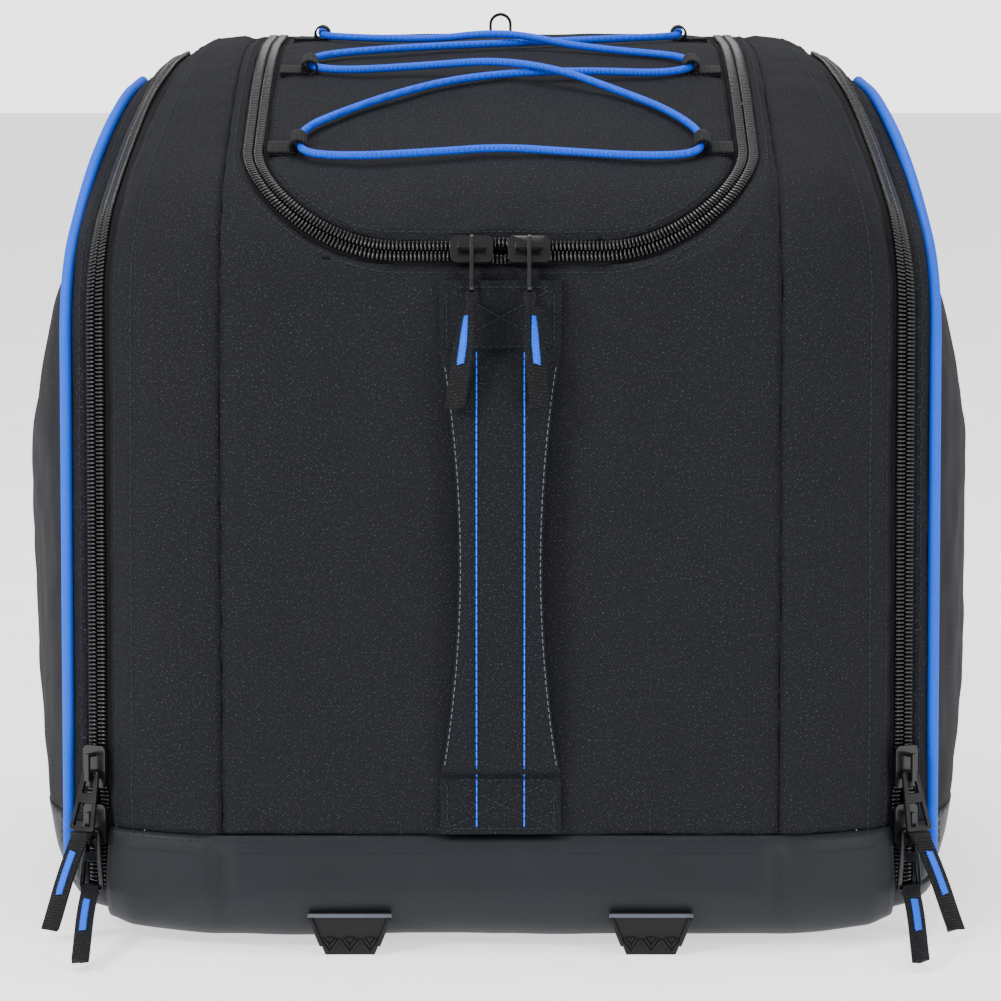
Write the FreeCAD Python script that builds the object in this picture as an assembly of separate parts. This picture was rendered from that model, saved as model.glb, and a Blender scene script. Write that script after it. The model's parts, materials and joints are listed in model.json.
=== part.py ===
"""Ski boot bag: a soft backpack with two side boot compartments, a zipped top lid and a vinyl base.

Frame: millimetres, +Z up, the ground at Z = 0, the front of the bag towards -Y, left and right as seen
from the front (left is -X).  The origin is the middle of the footprint, under the bag.

The fabric shell follows one side profile, a five-cornered outline with rounded corners.  The profile
is kept as it is across the flat middle of the bag and pulled in towards each side, so that the side
doors are domed.  Every panel, tape and coil is a layer of that shell, cut to its own outline.
"""
import FreeCAD, Part
import math
import os
from collections import namedtuple
from FreeCAD import Matrix, Placement, Rotation, Vector

# ----------------------------------------------------------------------------------------------
# Driving dimensions, in millimetres and degrees
# ----------------------------------------------------------------------------------------------
SIZES = [
    ("front_y", -136.1, "front face at the bottom"),
    ("back_y", 149.9, "back face"),
    ("base_z", 6, "underside of the vinyl base above the ground"),
    ("top_z", 361, "top of the bag at the back"),
    ("half_width", 205, "half of the width over the domed doors"),
    ("wall", 3, "padded fabric wall"),
    ("front_lean", 28.4, "how far the front face leans back at the brow corner"),
    ("brow_z", 301, "height of the brow corner before rounding"),
    ("crest_y", 30.9, "where the sloping top meets the level top, before rounding"),
    ("crest_z", 357, "height of that corner"),
    ("brow_radius", 62, "rounding of the brow"),
    ("crest_radius", 300, "rounding of the crest"),
    ("heel_radius", 18, "rounding along the bottom edges and the top back edge"),
    ("seam_half", 113, "half width of the middle panels"),
    ("band_z", 48, "top edge of the vinyl band"),
    ("chain_half", 165, "side zipper centre line from the middle plane"),
    ("chain_top_half", 145, "the same on top of the bag"),
    ("chain_bend_z", 262, "height where the side zipper starts to bend inwards"),
    ("piping_gap", 12, "side zipper centre line to piping centre line"),
    ("piping_width", 5, "width of the piping"),
    ("piping_height", 3.6, "how far the piping stands proud"),
    ("lid_half", 102, "lid zipper centre line from the middle plane"),
    ("lid_corner", 61, "corner radius of the lid zipper"),
    ("lid_front_angle", 24, "place of the lid zipper on the brow, up from its middle"),
    ("lid_back_y", 129.9, "hinge line of the lid"),
    ("panel_gap", 0.3, "gap between two panels"),
    ("coil_gap", 0.8, "coil edge from the zipper centre line"),
    ("coil_width", 3.6, "width of one coil"),
    ("coil_proud", 0.5, "how far a coil stands above the fabric"),
    ("tape_width", 13, "width of one zipper tape"),
    ("tape_thick", 0.8, "thickness of a zipper tape"),
    ("fabric_edge", 5, "folded fabric edge from the zipper centre line"),
    ("zip_end_z", 22, "lowest point of the side zippers"),
    ("wing_length", 17, "slider length"),
    ("wing_half", 5.6, "half width of a slider"),
    ("wing_thick", 1.5, "thickness of a slider wing"),
    ("wing_clear", 0.6, "running clearance of a slider on its chain"),
    ("post_thick", 1, "thickness of the slider's dividing post"),
    ("bail_half", 1.1, "half width of the slider's bail"),
    ("bail_bar", 1.4, "thickness of the bail"),
    ("bail_rise", 3.7, "space under the bail"),
    ("door_slant", 1.28, "how much deeper the slanted tapes lie under a slider"),
    ("upper_slider_z", 72, "height of the upper side sliders"),
    ("lower_slider_z", 48, "height of the lower side sliders"),
    ("lid_slider_x", 11.5, "lid sliders from the middle plane"),
    ("upper_travel", 160, "upward travel of an upper side slider"),
    ("lid_travel", 21, "outward travel of a lid slider on the straight front"),
    ("lower_travel", 12, "downward travel of a lower side slider"),
    ("post_clear", 0.35, "clearance beside a slider's post"),
    ("cord_clear", 0.25, "clearance of the bungee in its loops' webbing"),
    ("pull_length", 24.8, "puller from its hinge to its end"),
    ("pull_thick", 1.6, "thickness of a puller"),
    ("pull_top_half", 3.8, "half width of a puller at the bail"),
    ("pull_low_half", 6.2, "half width of a puller at the tag"),
    ("pull_rim", 1.8, "width of the puller's cross bars"),
    ("lid_pull_sag", 2.4, "how far a lid puller's hinge lies down its upper hole"),
    ("lid_pull_shift", 0.65, "how far a lid puller rides outwards on its bail"),
    ("tag_width", 8.4, "width of the webbing tag"),
    ("tag_length", 43, "length of the webbing tag"),
    ("tag_thick", 2.2, "thickness of the folded tag"),
    ("cord_width", 3.2, "diameter of the bungee cord"),
    ("loop_width", 11, "width of a bungee loop's webbing"),
    ("loop_tail", 9, "length of a bungee loop's sewn tail"),
    ("loop_clear", 1.2, "room for the cord inside a bungee loop"),
    ("loop_wall", 0.9, "thickness of a bungee loop's webbing"),
    ("divider_low", 80, "foot of a divider from the middle plane"),
    ("divider_high", 119, "head of a divider from the middle plane"),
    ("divider_thick", 2.5, "thickness of a divider"),
    ("board_half", 148, "half width of the stiffening board"),
    ("board_thick", 3, "thickness of the stiffening board"),
    ("handle_half", 24.5, "half width of the front handle at its ends"),
    ("handle_waist", 17, "half width of the front handle at its middle"),
    ("handle_low_z", 73, "lower end of the loose part of the handle"),
    ("handle_high_z", 243, "upper end of the loose part of the handle"),
    ("handle_bow", 8.5, "how far the slack handle stands off at its middle"),
    ("handle_thick", 2.4, "thickness of the handle"),
    ("patch_thick", 1.2, "thickness of the sewn patches"),
    ("patch_top_z", 272, "upper end of the handle's top patch"),
    ("pad_thick", 7.5, "thickness of the back pad"),
    ("pad_half", 108, "half width of the back pad"),
    ("strap_width", 56, "width of a shoulder strap"),
    ("strap_thick", 9, "thickness of a shoulder strap"),
    ("strap_high_z", 318, "upper end of a shoulder strap"),
    ("strap_low_z", 108, "lower end of a shoulder strap"),
    ("strap_high_x", 44, "shoulder strap from the middle plane, at its top"),
    ("strap_low_x", 84, "shoulder strap from the middle plane, at its foot"),
    ("web_width", 25, "width of the strap webbing"),
    ("web_thick", 1.6, "thickness of the strap webbing"),
    ("web_low_x", 122, "webbing anchor from the middle plane"),
    ("web_low_z", 30, "webbing anchor height"),
    ("lock_width", 34, "ladder lock width"),
    ("lock_length", 24, "ladder lock length"),
    ("lock_thick", 4.5, "ladder lock thickness"),
    ("foot_x", 61, "rubber foot from the middle plane"),
    ("foot_half", 17, "half width of a rubber foot at its top"),
    ("foot_length", 44, "length of a rubber foot"),
    ("foot_top_z", 17, "top edge of a rubber foot"),
    ("hang_half", 5.5, "half spread of the hang loop"),
    ("hang_width", 8, "width of the hang loop's webbing"),
    ("hang_thick", 1.6, "thickness of the hang loop's webbing"),
    ("hang_inset", 9.4, "hang loop ahead of the back face"),
    ("hang_pivot_z", 363.7, "height about which the hang loop folds"),
    ("hang_top_z", 370.5, "top of the hang loop"),
]

# Sections of the shell: distance from the middle plane, then how far the profile is pulled in there
# at the front, at the back, at the bottom and at the top.
Section = namedtuple("Section", "x front back bottom top")
SECTIONS = [
    Section(113, 0, 0, 0, 0),
    Section(150, 10, 4, 1, 10),
    Section(172, 24, 13, 6, 28),
    Section(180, 36, 20, 13, 48),
    Section(192, 66, 46, 38, 90),
    Section(200, 105, 85, 80, 130),
    Section(205, 140, 115, 110, 160),
]

# The bungee cord's route over the lid, from the left end knot to the right one: X, Y from the crest
# corner, and the height of its middle above the lid.
BUNGEE_ROUTE = [
    (-80, 71, 3.7), (-80.5, 59, 3.7), (-78, 48, 3.6), (-56, 38, 3.6), (-28, 30, 4.4), (-7, 25.5, 7.6),
    (10, 21, 7.6), (30, 14.5, 4.4), (56, 5, 3.6), (76, -2, 3.7), (82.5, -11, 3.8), (82, -21, 3.8),
    (68, -27, 3.8), (40, -24, 3.8), (8, -26, 3.9), (-20, -34, 3.9), (-44, -48, 3.9), (-66, -65, 4),
    (-81, -79, 4), (-83.5, -92, 4), (-80, -103, 4.1), (-58, -105, 4.2), (-26, -101, 4.1), (0, -97, 4.1),
    (28, -101, 4.1), (58, -105, 4.2), (80, -103, 4.1), (83.5, -92, 4), (81, -79, 4), (68, -61, 4),
    (46, -43, 4.2), (25, -31, 7), (-2, -23.5, 8.2), (-30, -20.5, 5), (-66, -24, 3.9), (-82, -19, 3.8),
    (-82.5, -9, 3.8), (-76, 0, 3.7), (-54, 9, 3.6), (-26, 17, 3.6), (2, 23, 3.6), (28, 30, 3.6),
    (58, 39, 3.6), (78, 48, 3.6), (80.5, 59, 3.7), (80, 71, 3.7),
]

LEFT, RIGHT = -1, 1
FAR = 1000.0
PROFILE_CORNERS = 5
LID_DIRECTION = Vector(0, -math.sqrt(0.5), math.sqrt(0.5))
LID_UPHILL = Vector(0, math.sqrt(0.5), math.sqrt(0.5))
SIDE_NAMES = {LEFT: "left", RIGHT: "right"}

doc = FreeCAD.newDocument("ski_boot_bag")
sheet = doc.addObject("Spreadsheet::Sheet", "Sizes")
for row, (alias, value, note) in enumerate(SIZES, start=1):
    sheet.set(f"A{row}", alias)
    sheet.set(f"B{row}", str(value))
    sheet.set(f"C{row}", note)
    sheet.setAlias(f"B{row}", alias)
doc.recompute()
SIZE = namedtuple("SizeTable", [alias for alias, _, _ in SIZES])(*[float(sheet.get(a)) for a, _, _ in SIZES])
PARTS = []


def keep(obj, label):
    """Marks a document object as a finished sub-part with its own name."""
    obj.Label = label
    PARTS.append(obj)
    return obj


def add_shape(label, shape):
    """A sub-part whose shape follows the curved shell, kept as a plain Part feature."""
    obj = doc.addObject("Part::Feature", label)
    obj.Shape = shape
    return keep(obj, label)


# ----------------------------------------------------------------------------------------------
# The shell: profile, sections and layers
# ----------------------------------------------------------------------------------------------
def profile_corners(section, grow):
    """The five corners (Y, Z) of the side profile at a section, grown outwards."""
    base = [
        (SIZE.front_y, SIZE.base_z),
        (SIZE.front_y + SIZE.front_lean, SIZE.brow_z),
        (SIZE.crest_y, SIZE.crest_z),
        (SIZE.back_y, SIZE.top_z),
        (SIZE.back_y, SIZE.base_z),
    ]
    depth, height = SIZE.back_y - SIZE.front_y, SIZE.top_z - SIZE.base_z
    y_low = SIZE.front_y + section.front - grow
    y_scale = (depth - section.front - section.back + 2 * grow) / depth
    z_low = SIZE.base_z + section.bottom - grow
    z_scale = (height - section.bottom - section.top + 2 * grow) / height
    corners = [
        (y_low + (y - SIZE.front_y) * y_scale, z_low + (z - SIZE.base_z) * z_scale) for y, z in base
    ]
    scale = min(y_scale, z_scale)
    radii = [SIZE.heel_radius, SIZE.brow_radius, SIZE.crest_radius, SIZE.heel_radius, SIZE.heel_radius]
    return corners, [radius * scale for radius in radii]


def rounded_wire(points, radii):
    """A closed wire through the corner points, each corner rounded by a tangent arc."""
    starts, mids, ends = [], [], []
    count = len(points)
    for i, wanted in enumerate(radii):
        corner = points[i]
        back, ahead = points[i - 1] - corner, points[(i + 1) % count] - corner
        room = 0.47 * min(back.Length, ahead.Length)
        back.normalize()
        ahead.normalize()
        half = back.getAngle(ahead) / 2
        radius = min(wanted, room * math.tan(half))
        reach = radius / math.tan(half)
        middle = (back + ahead).normalize()
        starts.append(corner + back * reach)
        ends.append(corner + ahead * reach)
        mids.append(corner + middle * (radius / math.sin(half) - radius))
    edges = []
    for i in range(count):
        edges.append(Part.Arc(starts[i], mids[i], ends[i]).toShape())
        edges.append(Part.LineSegment(ends[i], starts[(i + 1) % count]).toShape())
    return Part.Wire(edges)


def section_wire(section, side, grow):
    """The rounded profile of one section, in its own upright plane."""
    corners, radii = profile_corners(section, grow)
    stretch = grow * section.x / SIZE.half_width
    x = side * (section.x + stretch) * SIZE.half_width / SECTIONS[-1].x
    return rounded_wire([Vector(x, y, z) for y, z in corners], radii)


_layers = {}


def bag_solid(grow=0.0):
    """The whole bag as one solid, its surface moved outwards by grow."""
    if grow not in _layers:
        wires = [section_wire(s, LEFT, grow) for s in reversed(SECTIONS)]
        wires += [section_wire(s, RIGHT, grow) for s in SECTIONS]
        _layers[grow] = Part.makeLoft(wires, True, True)
    return _layers[grow]


def layer(outer, inner):
    """The shell between two surfaces of the bag."""
    return bag_solid(outer).cut(bag_solid(inner))


def slab(x_low, x_high, y_low=-FAR, y_high=FAR, z_low=-FAR, z_high=FAR):
    """A plain box between the given limits."""
    corner = Vector(x_low, y_low, z_low)
    return Part.makeBox(x_high - x_low, y_high - y_low, z_high - z_low, corner)


def side_curve(side, offset):
    """Points and edges of the side zipper's line as seen from the front, moved outwards by offset."""
    low_x, high_x = SIZE.chain_half + offset, SIZE.chain_top_half + offset
    sweep = low_x - high_x
    radius = (sweep**2 + (SIZE.crest_z - SIZE.chain_bend_z) ** 2) / (2 * sweep)
    half_rise = (SIZE.crest_z - SIZE.chain_bend_z) / 2
    half_x = radius - math.sqrt(radius**2 - half_rise**2)
    foot = Vector(side * low_x, -FAR, -FAR)
    bend = Vector(side * low_x, -FAR, SIZE.chain_bend_z)
    middle = Vector(side * (low_x - half_x), -FAR, SIZE.chain_bend_z + half_rise)
    top = Vector(side * high_x, -FAR, SIZE.crest_z)
    head = Vector(side * high_x, -FAR, FAR)
    edges = [
        Part.LineSegment(foot, bend).toShape(),
        Part.Arc(bend, middle, top).toShape(),
        Part.LineSegment(top, head).toShape(),
    ]
    return edges, foot, head


def side_strip(side, inner, outer):
    """All space between two offsets of a side zipper's line, measured outwards from it."""
    inner_edges, inner_foot, inner_head = side_curve(side, inner)
    outer_edges, outer_foot, outer_head = side_curve(side, outer)
    bottom = Part.LineSegment(inner_foot, outer_foot).toShape()
    top = Part.LineSegment(outer_head, inner_head).toShape()
    wire = Part.Wire(Part.__sortEdges__(inner_edges + outer_edges + [bottom, top]))
    return Part.Face(wire).extrude(Vector(0, 2 * FAR, 0))


def brow_centre():
    """Centre (Y, Z) of the brow's rounding on the flat middle of the bag."""
    corners, radii = profile_corners(SECTIONS[0], 0)
    corner = Vector(0, *corners[1])
    back = (Vector(0, *corners[0]) - corner).normalize()
    ahead = (Vector(0, *corners[2]) - corner).normalize()
    half = back.getAngle(ahead) / 2
    return corner + (back + ahead).normalize() * (radii[1] / math.sin(half))


def lid_prism(offset):
    """The space under the lid zipper's U, moved outwards by offset and cut off at the hinge line."""
    centre = brow_centre()
    angle = math.radians(SIZE.lid_front_angle)
    front = centre + Vector(0, -math.cos(angle), math.sin(angle)) * SIZE.brow_radius
    front_v = (front - centre).dot(LID_UPHILL) - offset
    half, corner = SIZE.lid_half + offset, SIZE.lid_corner + offset
    reach, depth, shallow = 300.0, -90.0, 150.0

    def at(x, v):
        return centre + Vector(x, 0, 0) + LID_UPHILL * v + LID_DIRECTION * depth

    slant = corner * (1 - math.sqrt(0.5))
    edges = [
        Part.LineSegment(at(-half + corner, front_v), at(half - corner, front_v)).toShape(),
        Part.Arc(
            at(half - corner, front_v), at(half - slant, front_v + slant), at(half, front_v + corner)
        ).toShape(),
        Part.LineSegment(at(half, front_v + corner), at(half, reach)).toShape(),
        Part.LineSegment(at(half, reach), at(-half, reach)).toShape(),
        Part.LineSegment(at(-half, reach), at(-half, front_v + corner)).toShape(),
        Part.Arc(
            at(-half, front_v + corner), at(-half + slant, front_v + slant), at(-half + corner, front_v)
        ).toShape(),
    ]
    prism = Part.Face(Part.Wire(edges)).extrude(LID_DIRECTION * (shallow - depth))
    return prism.common(slab(-FAR, FAR, y_high=SIZE.lid_back_y))


def lid_ring(inner, outer):
    """The band between two offsets of the lid zipper's U."""
    return lid_prism(outer).cut(lid_prism(inner))


# ----------------------------------------------------------------------------------------------
# Where the sliders run
# ----------------------------------------------------------------------------------------------
Track = namedtuple("Track", "origin along across outward")


def side_track(side, z):
    """The frame of a side zipper's front stretch at a height: along it upwards, across it, outwards."""
    inner, outer = SECTIONS[1], SECTIONS[2]
    share = (SIZE.chain_half - inner.x) / (outer.x - inner.x)

    def on_section(section, level):
        corners, _ = profile_corners(section, 0)
        (y0, z0), (y1, z1) = corners[0], corners[1]
        return Vector(side * section.x, y0 + (level - z0) * (y1 - y0) / (z1 - z0), level)

    def on_chain(level):
        a, b = on_section(inner, level), on_section(outer, level)
        return a + (b - a) * share

    along = (on_chain(z + 10) - on_chain(z - 10)).normalize()
    level_across = on_section(outer, z) - on_section(inner, z)
    outward = along.cross(level_across).normalize()
    if outward.y > 0:
        outward = outward * -1
    return Track(on_chain(z), along, outward.cross(along), outward)


def lid_track(x):
    """The frame of the lid zipper's front stretch: along it to the right, across it uphill, outwards."""
    angle = math.radians(SIZE.lid_front_angle)
    outward = Vector(0, -math.cos(angle), math.sin(angle))
    origin = brow_centre() + outward * SIZE.brow_radius
    origin.x = x
    return Track(origin, Vector(1, 0, 0), outward.cross(Vector(1, 0, 0)), outward)


def frame_placement(origin, x_axis, y_axis, z_axis):
    """The placement that carries the local axes onto the given right-handed ones."""
    matrix = Matrix(
        x_axis.x, y_axis.x, z_axis.x, origin.x,
        x_axis.y, y_axis.y, z_axis.y, origin.y,
        x_axis.z, y_axis.z, z_axis.z, origin.z,
        0, 0, 0, 1,
    )
    return Placement(matrix)


# ----------------------------------------------------------------------------------------------
# Fabric panels
# ----------------------------------------------------------------------------------------------
def build_panels():
    """Front, gusset, back and base panels, the lid and the doors, all cut from one wall layer."""
    wall = layer(0, -SIZE.wall)
    gap = SIZE.panel_gap
    seam = SIZE.seam_half
    above_band = slab(-FAR, FAR, z_low=SIZE.band_z + gap)
    ahead = slab(-seam + gap / 2, seam - gap / 2, y_high=SIZE.lid_back_y)
    behind = slab(-seam + gap / 2, seam - gap / 2, y_low=SIZE.lid_back_y + gap)

    middle = wall.common(above_band)
    top_front = middle.common(ahead).cut(slab(-FAR, FAR, y_low=0, z_high=SIZE.crest_z - 40))
    add_shape("front_panel", top_front.cut(lid_prism(SIZE.fabric_edge)))
    add_shape("back_panel", middle.common(behind))
    add_shape("top_lid", wall.common(lid_prism(-SIZE.fabric_edge)))

    below_band = slab(-FAR, FAR, z_high=SIZE.band_z)
    base = wall.common(below_band)
    for side in (LEFT, RIGHT):
        name = SIDE_NAMES[side]
        outside = side_strip(side, -SIZE.fabric_edge, FAR)
        half = slab(*sorted((side * (seam + gap / 2), side * FAR)))
        add_shape(f"{name}_gusset", middle.common(half).cut(outside))
        base = base.cut(outside.common(slab(-FAR, FAR, z_low=SIZE.zip_end_z)))

        dome = wall.common(side_strip(side, SIZE.fabric_edge, FAR))
        fabric = slab(-FAR, FAR, z_low=SIZE.band_z + gap)
        vinyl = slab(-FAR, FAR, z_low=SIZE.zip_end_z + gap, z_high=SIZE.band_z)
        add_shape(f"{name}_door", dome.common(fabric))
        add_shape(f"{name}_door_band", dome.common(vinyl))
        piping_low = SIZE.piping_gap - SIZE.piping_width / 2
        piping_high = SIZE.piping_gap + SIZE.piping_width / 2
        rim = layer(SIZE.piping_height, 0).common(side_strip(side, piping_low, piping_high))
        add_shape(f"{name}_piping", rim.common(slab(-FAR, FAR, z_low=SIZE.zip_end_z + gap)))
    add_shape("vinyl_base", base)


# ----------------------------------------------------------------------------------------------
# Zipper tapes with their coils
# ----------------------------------------------------------------------------------------------
def half_chain(region, coil_hole=None):
    """One tape under the fabric with its coil; region(a, b) gives the band between two offsets."""
    inner = -SIZE.wall - SIZE.tape_thick
    coil = layer(SIZE.coil_proud, inner).common(region(SIZE.coil_gap, SIZE.coil_gap + SIZE.coil_width))
    if coil_hole is not None:
        coil = coil.cut(coil_hole)
    tape = layer(-SIZE.wall, inner).common(region(SIZE.coil_gap + SIZE.coil_width - 1, SIZE.tape_width))
    return coil.fuse(tape).removeSplitter()


def post_run(track, start, end, away):
    """The space that sliders' posts sweep along a track from start to end, open across it towards away."""
    near = SIZE.post_thick / 2 + SIZE.post_clear
    deep = 2 * (SIZE.wall + SIZE.tape_thick)
    run = slab(start, end, *sorted((-away * near, away * 10 * near)), -deep, deep)
    run.Placement = frame_placement(track.origin, track.along, track.across, track.outward)
    return run


def build_chains():
    """The two halves of each side zipper and of the lid zipper."""
    margin = SIZE.wing_length / 2 + 2
    rise = SIZE.upper_slider_z - SIZE.lower_slider_z + SIZE.upper_travel
    run = slab(-FAR, FAR, z_low=SIZE.zip_end_z + SIZE.panel_gap)
    top = SIZE.upper_slider_z + SIZE.wing_length / 2 + 4
    slider_zone = slab(-FAR, FAR, y_high=0, z_high=top)
    for side in (LEFT, RIGHT):
        name = SIDE_NAMES[side]
        fixed = half_chain(lambda a, b, s=side: side_strip(s, -b, -a).common(run))
        moving = half_chain(lambda a, b, s=side: side_strip(s, a, b).common(run), slider_zone)
        lower = side_track(side, SIZE.lower_slider_z)
        swept = post_run(lower, -SIZE.lower_travel - margin, rise + margin, -side)
        add_shape(f"{name}_body_zipper_tape", fixed.cut(swept))
        add_shape(f"{name}_door_zipper_tape", moving)
    reach = SIZE.lid_slider_x + SIZE.wing_length / 2 + 1.5
    lid_zone = slab(-reach, reach, y_high=-50)
    add_shape("front_lid_zipper_tape", half_chain(lambda a, b: lid_ring(a, b)))
    span = SIZE.lid_slider_x + SIZE.lid_travel + margin
    lid_half = half_chain(lambda a, b: lid_ring(-b, -a), lid_zone)
    add_shape("top_lid_zipper_tape", lid_half.cut(post_run(lid_track(0), -span, span, -1)))


# ----------------------------------------------------------------------------------------------
# Sliders, pullers and tags
# ----------------------------------------------------------------------------------------------
# One zipper slider: its track, the tilt of its puller off the surface, the tilt of its tag off the
# surface, the sideways lean of its tag and the twist of its tag.
Pull = namedtuple("Pull", "name track on_lid pull_tilt tag_tilt tag_lean twist")


def pull_table():
    """All six sliders."""
    pulls = []
    for side in (LEFT, RIGHT):
        name = SIDE_NAMES[side]
        lean = {LEFT: -21, RIGHT: 24}[side]
        pulls.append(Pull(f"{name}_upper", side_track(side, SIZE.upper_slider_z), False, 16, -13, lean, 0))
        lower = side_track(side, SIZE.lower_slider_z)
        pulls.append(Pull(f"{name}_lower", lower, False, 0, 60, -side * 28, 0))
    for side in (LEFT, RIGHT):
        name = SIDE_NAMES[side]
        lean = {LEFT: 9, RIGHT: -6}[side]
        track = lid_track(side * SIZE.lid_slider_x)
        pulls.append(Pull(f"lid_{name}", track, True, -4, 0, lean, side * 70))
    return pulls


def slider_shape():
    """A slider around the origin: length along X, across Y, outwards Z."""
    length, half = SIZE.wing_length, SIZE.wing_half
    top = SIZE.coil_proud + SIZE.wing_clear
    bottom = -(SIZE.wall + SIZE.tape_thick) * SIZE.door_slant - SIZE.wing_clear
    wings = slab(-length / 2, length / 2, -half, half, top, top + SIZE.wing_thick)
    wings = wings.fuse(slab(-length / 2, length / 2, -half, half, bottom - SIZE.wing_thick, bottom))
    upright = [e for e in wings.Edges if abs(e.Vertexes[0].Z - e.Vertexes[-1].Z) > SIZE.wing_thick / 2]
    wings = wings.makeFillet(2.2, upright)
    post = slab(-2, 2.5, -SIZE.post_thick / 2, SIZE.post_thick / 2, bottom, top)
    bail_in = top + SIZE.wing_thick + SIZE.bail_rise
    bail = slab(-5.6, 5.6, -SIZE.bail_half, SIZE.bail_half, top + SIZE.wing_thick, bail_in + SIZE.bail_bar)
    bail = bail.cut(slab(-4.2, 4.2, -FAR, FAR, top + SIZE.wing_thick, bail_in))
    return wings.fuse([post, bail]).removeSplitter()


def bail_space():
    """Outward height of the middle of the space under a bail and of the middle of its bar."""
    floor = SIZE.coil_proud + SIZE.wing_clear + SIZE.wing_thick
    return floor + SIZE.bail_rise / 2, floor + SIZE.bail_rise + SIZE.bail_bar / 2


def hinge_frame(pull):
    """The placement of a puller: X hangs down it, Y across it, Z its face."""
    track = pull.track
    under, bar = bail_space()
    if pull.on_lid:
        origin = track.origin + track.outward * bar
        down, wide, face = track.across * -1, track.outward, track.along * -1
        turned = Rotation(track.along, pull.pull_tilt)
    else:
        origin = track.origin + track.outward * under - track.along * 2.6
        down, wide, face = track.along * -1, track.across * -1, track.outward
        turned = Rotation(track.across, pull.pull_tilt)
    if down.cross(wide).dot(face) < 0:
        wide = wide * -1
    return frame_placement(origin, turned.multVec(down), turned.multVec(wide), turned.multVec(face))


def pull_offset(pull):
    """How far a puller's own shape is moved along and across from its hinge."""
    return (-SIZE.lid_pull_sag, SIZE.lid_pull_shift) if pull.on_lid else (0, 0)


def puller_shape(pull):
    """A two-holed metal puller hanging from the origin along X."""
    half_thick, rim = SIZE.pull_thick / 2, SIZE.pull_rim
    drop, shift = pull_offset(pull)
    top, low = -rim / 2 + drop, SIZE.pull_length - rim / 2 + drop

    def outline(x0, half0, x1, half1):
        points = [Vector(x0, -half0), Vector(x1, -half1), Vector(x1, half1), Vector(x0, half0)]
        points = [Vector(p.x, p.y + shift, -half_thick) for p in points]
        return Part.Face(Part.makePolygon(points + points[:1])).extrude(Vector(0, 0, SIZE.pull_thick))

    plate = outline(top, SIZE.pull_top_half, low, SIZE.pull_low_half)
    corners = [e for e in plate.Edges if abs(e.Vertexes[0].Z - e.Vertexes[-1].Z) > 1]
    plate = plate.makeFillet(1.6, corners)
    upper_hole = outline(top + rim, SIZE.pull_top_half - rim, top + 9.4, SIZE.pull_top_half - rim + 0.6)
    lower_hole = outline(top + 13, 3.2, low - rim, SIZE.pull_low_half - rim)
    return plate.cut(upper_hole).cut(lower_hole)


def tag_shape(pull):
    """A folded webbing tag hanging from a bar at the origin along X."""
    half, thick = SIZE.tag_width / 2, SIZE.tag_thick
    ring = Part.makeCylinder(2.4, 2 * half, Vector(0, -half, 0), Vector(0, 1, 0))
    hole = Part.makeCylinder(1.5, 2 * half + 2, Vector(0, -half - 1, 0), Vector(0, 1, 0))
    start, length = 1.3, SIZE.tag_length - 1.3
    lean = math.tan(math.radians(pull.tag_lean)) * length
    steps = 8 if pull.twist else 1
    wires = []
    for i in range(steps + 1):
        share = i / steps
        angle = math.radians(pull.twist * min(1.0, share * 2.2))
        wide = Vector(0, math.cos(angle), math.sin(angle)) * half
        deep = Vector(0, -math.sin(angle), math.cos(angle)) * (thick / 2)
        middle = Vector(start + length * share, 0, 0)
        if pull.on_lid:
            middle.z = lean * share
            middle.y = -16.0 * share**1.3
        else:
            middle.y = lean * share
        corners = [middle - wide - deep, middle + wide - deep, middle + wide + deep, middle - wide + deep]
        wires.append(Part.makePolygon(corners + corners[:1]))
    strap = Part.makeLoft(wires, True, not pull.twist)
    return ring.fuse(strap).cut(hole)


def build_pulls():
    """Every slider with its puller and webbing tag."""
    for pull in pull_table():
        seat = frame_placement(pull.track.origin, pull.track.along, pull.track.across, pull.track.outward)
        slider = slider_shape()
        slider.Placement = seat
        add_shape(f"{pull.name}_slider", slider)
        hinge = hinge_frame(pull)
        puller = puller_shape(pull)
        puller.Placement = hinge
        add_shape(f"{pull.name}_puller", puller)
        drop, shift = pull_offset(pull)
        bar = Vector(SIZE.pull_length - SIZE.pull_rim + drop, shift, 0)
        swing = Placement(bar, Rotation(Vector(0, 1, 0), -pull.tag_tilt))
        tag = tag_shape(pull)
        tag.Placement = hinge.multiply(swing)
        add_shape(f"{pull.name}_tag", tag)
        axis_y = hinge.Rotation.multVec(Vector(0, 1, 0))
        axis_z = hinge.Rotation.multVec(Vector(0, 0, 1))
        print("PULL", pull.name, "along", list(pull.track.along), "hinge", list(hinge.Base),
              "wide", list(axis_y), "face", list(axis_z), "bar", list(hinge.multVec(bar)))


# ----------------------------------------------------------------------------------------------
# Bungee lacing on the lid
# ----------------------------------------------------------------------------------------------
def lid_height(y):
    """Height of the lid's outer surface, and its slope, at a distance from the middle plane's front."""
    corners, radii = profile_corners(SECTIONS[0], 0)
    face = Part.Face(rounded_wire([Vector(0, cy, cz) for cy, cz in corners], radii))
    heights = []
    for place in (y, y + 1):
        cut = Part.makeLine(Vector(0, place, -FAR), Vector(0, place, FAR)).common(face)
        heights.append(max(v.Z for v in cut.Vertexes))
    return heights[0], heights[1] - heights[0]


def bungee_points():
    """The bungee's route, carried along with the lid under it."""
    route = [(x, y + SIZE.crest_y, rise) for x, y, rise in BUNGEE_ROUTE]
    return [Vector(x, y, lid_height(y)[0] + rise) for x, y, rise in route]


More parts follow.
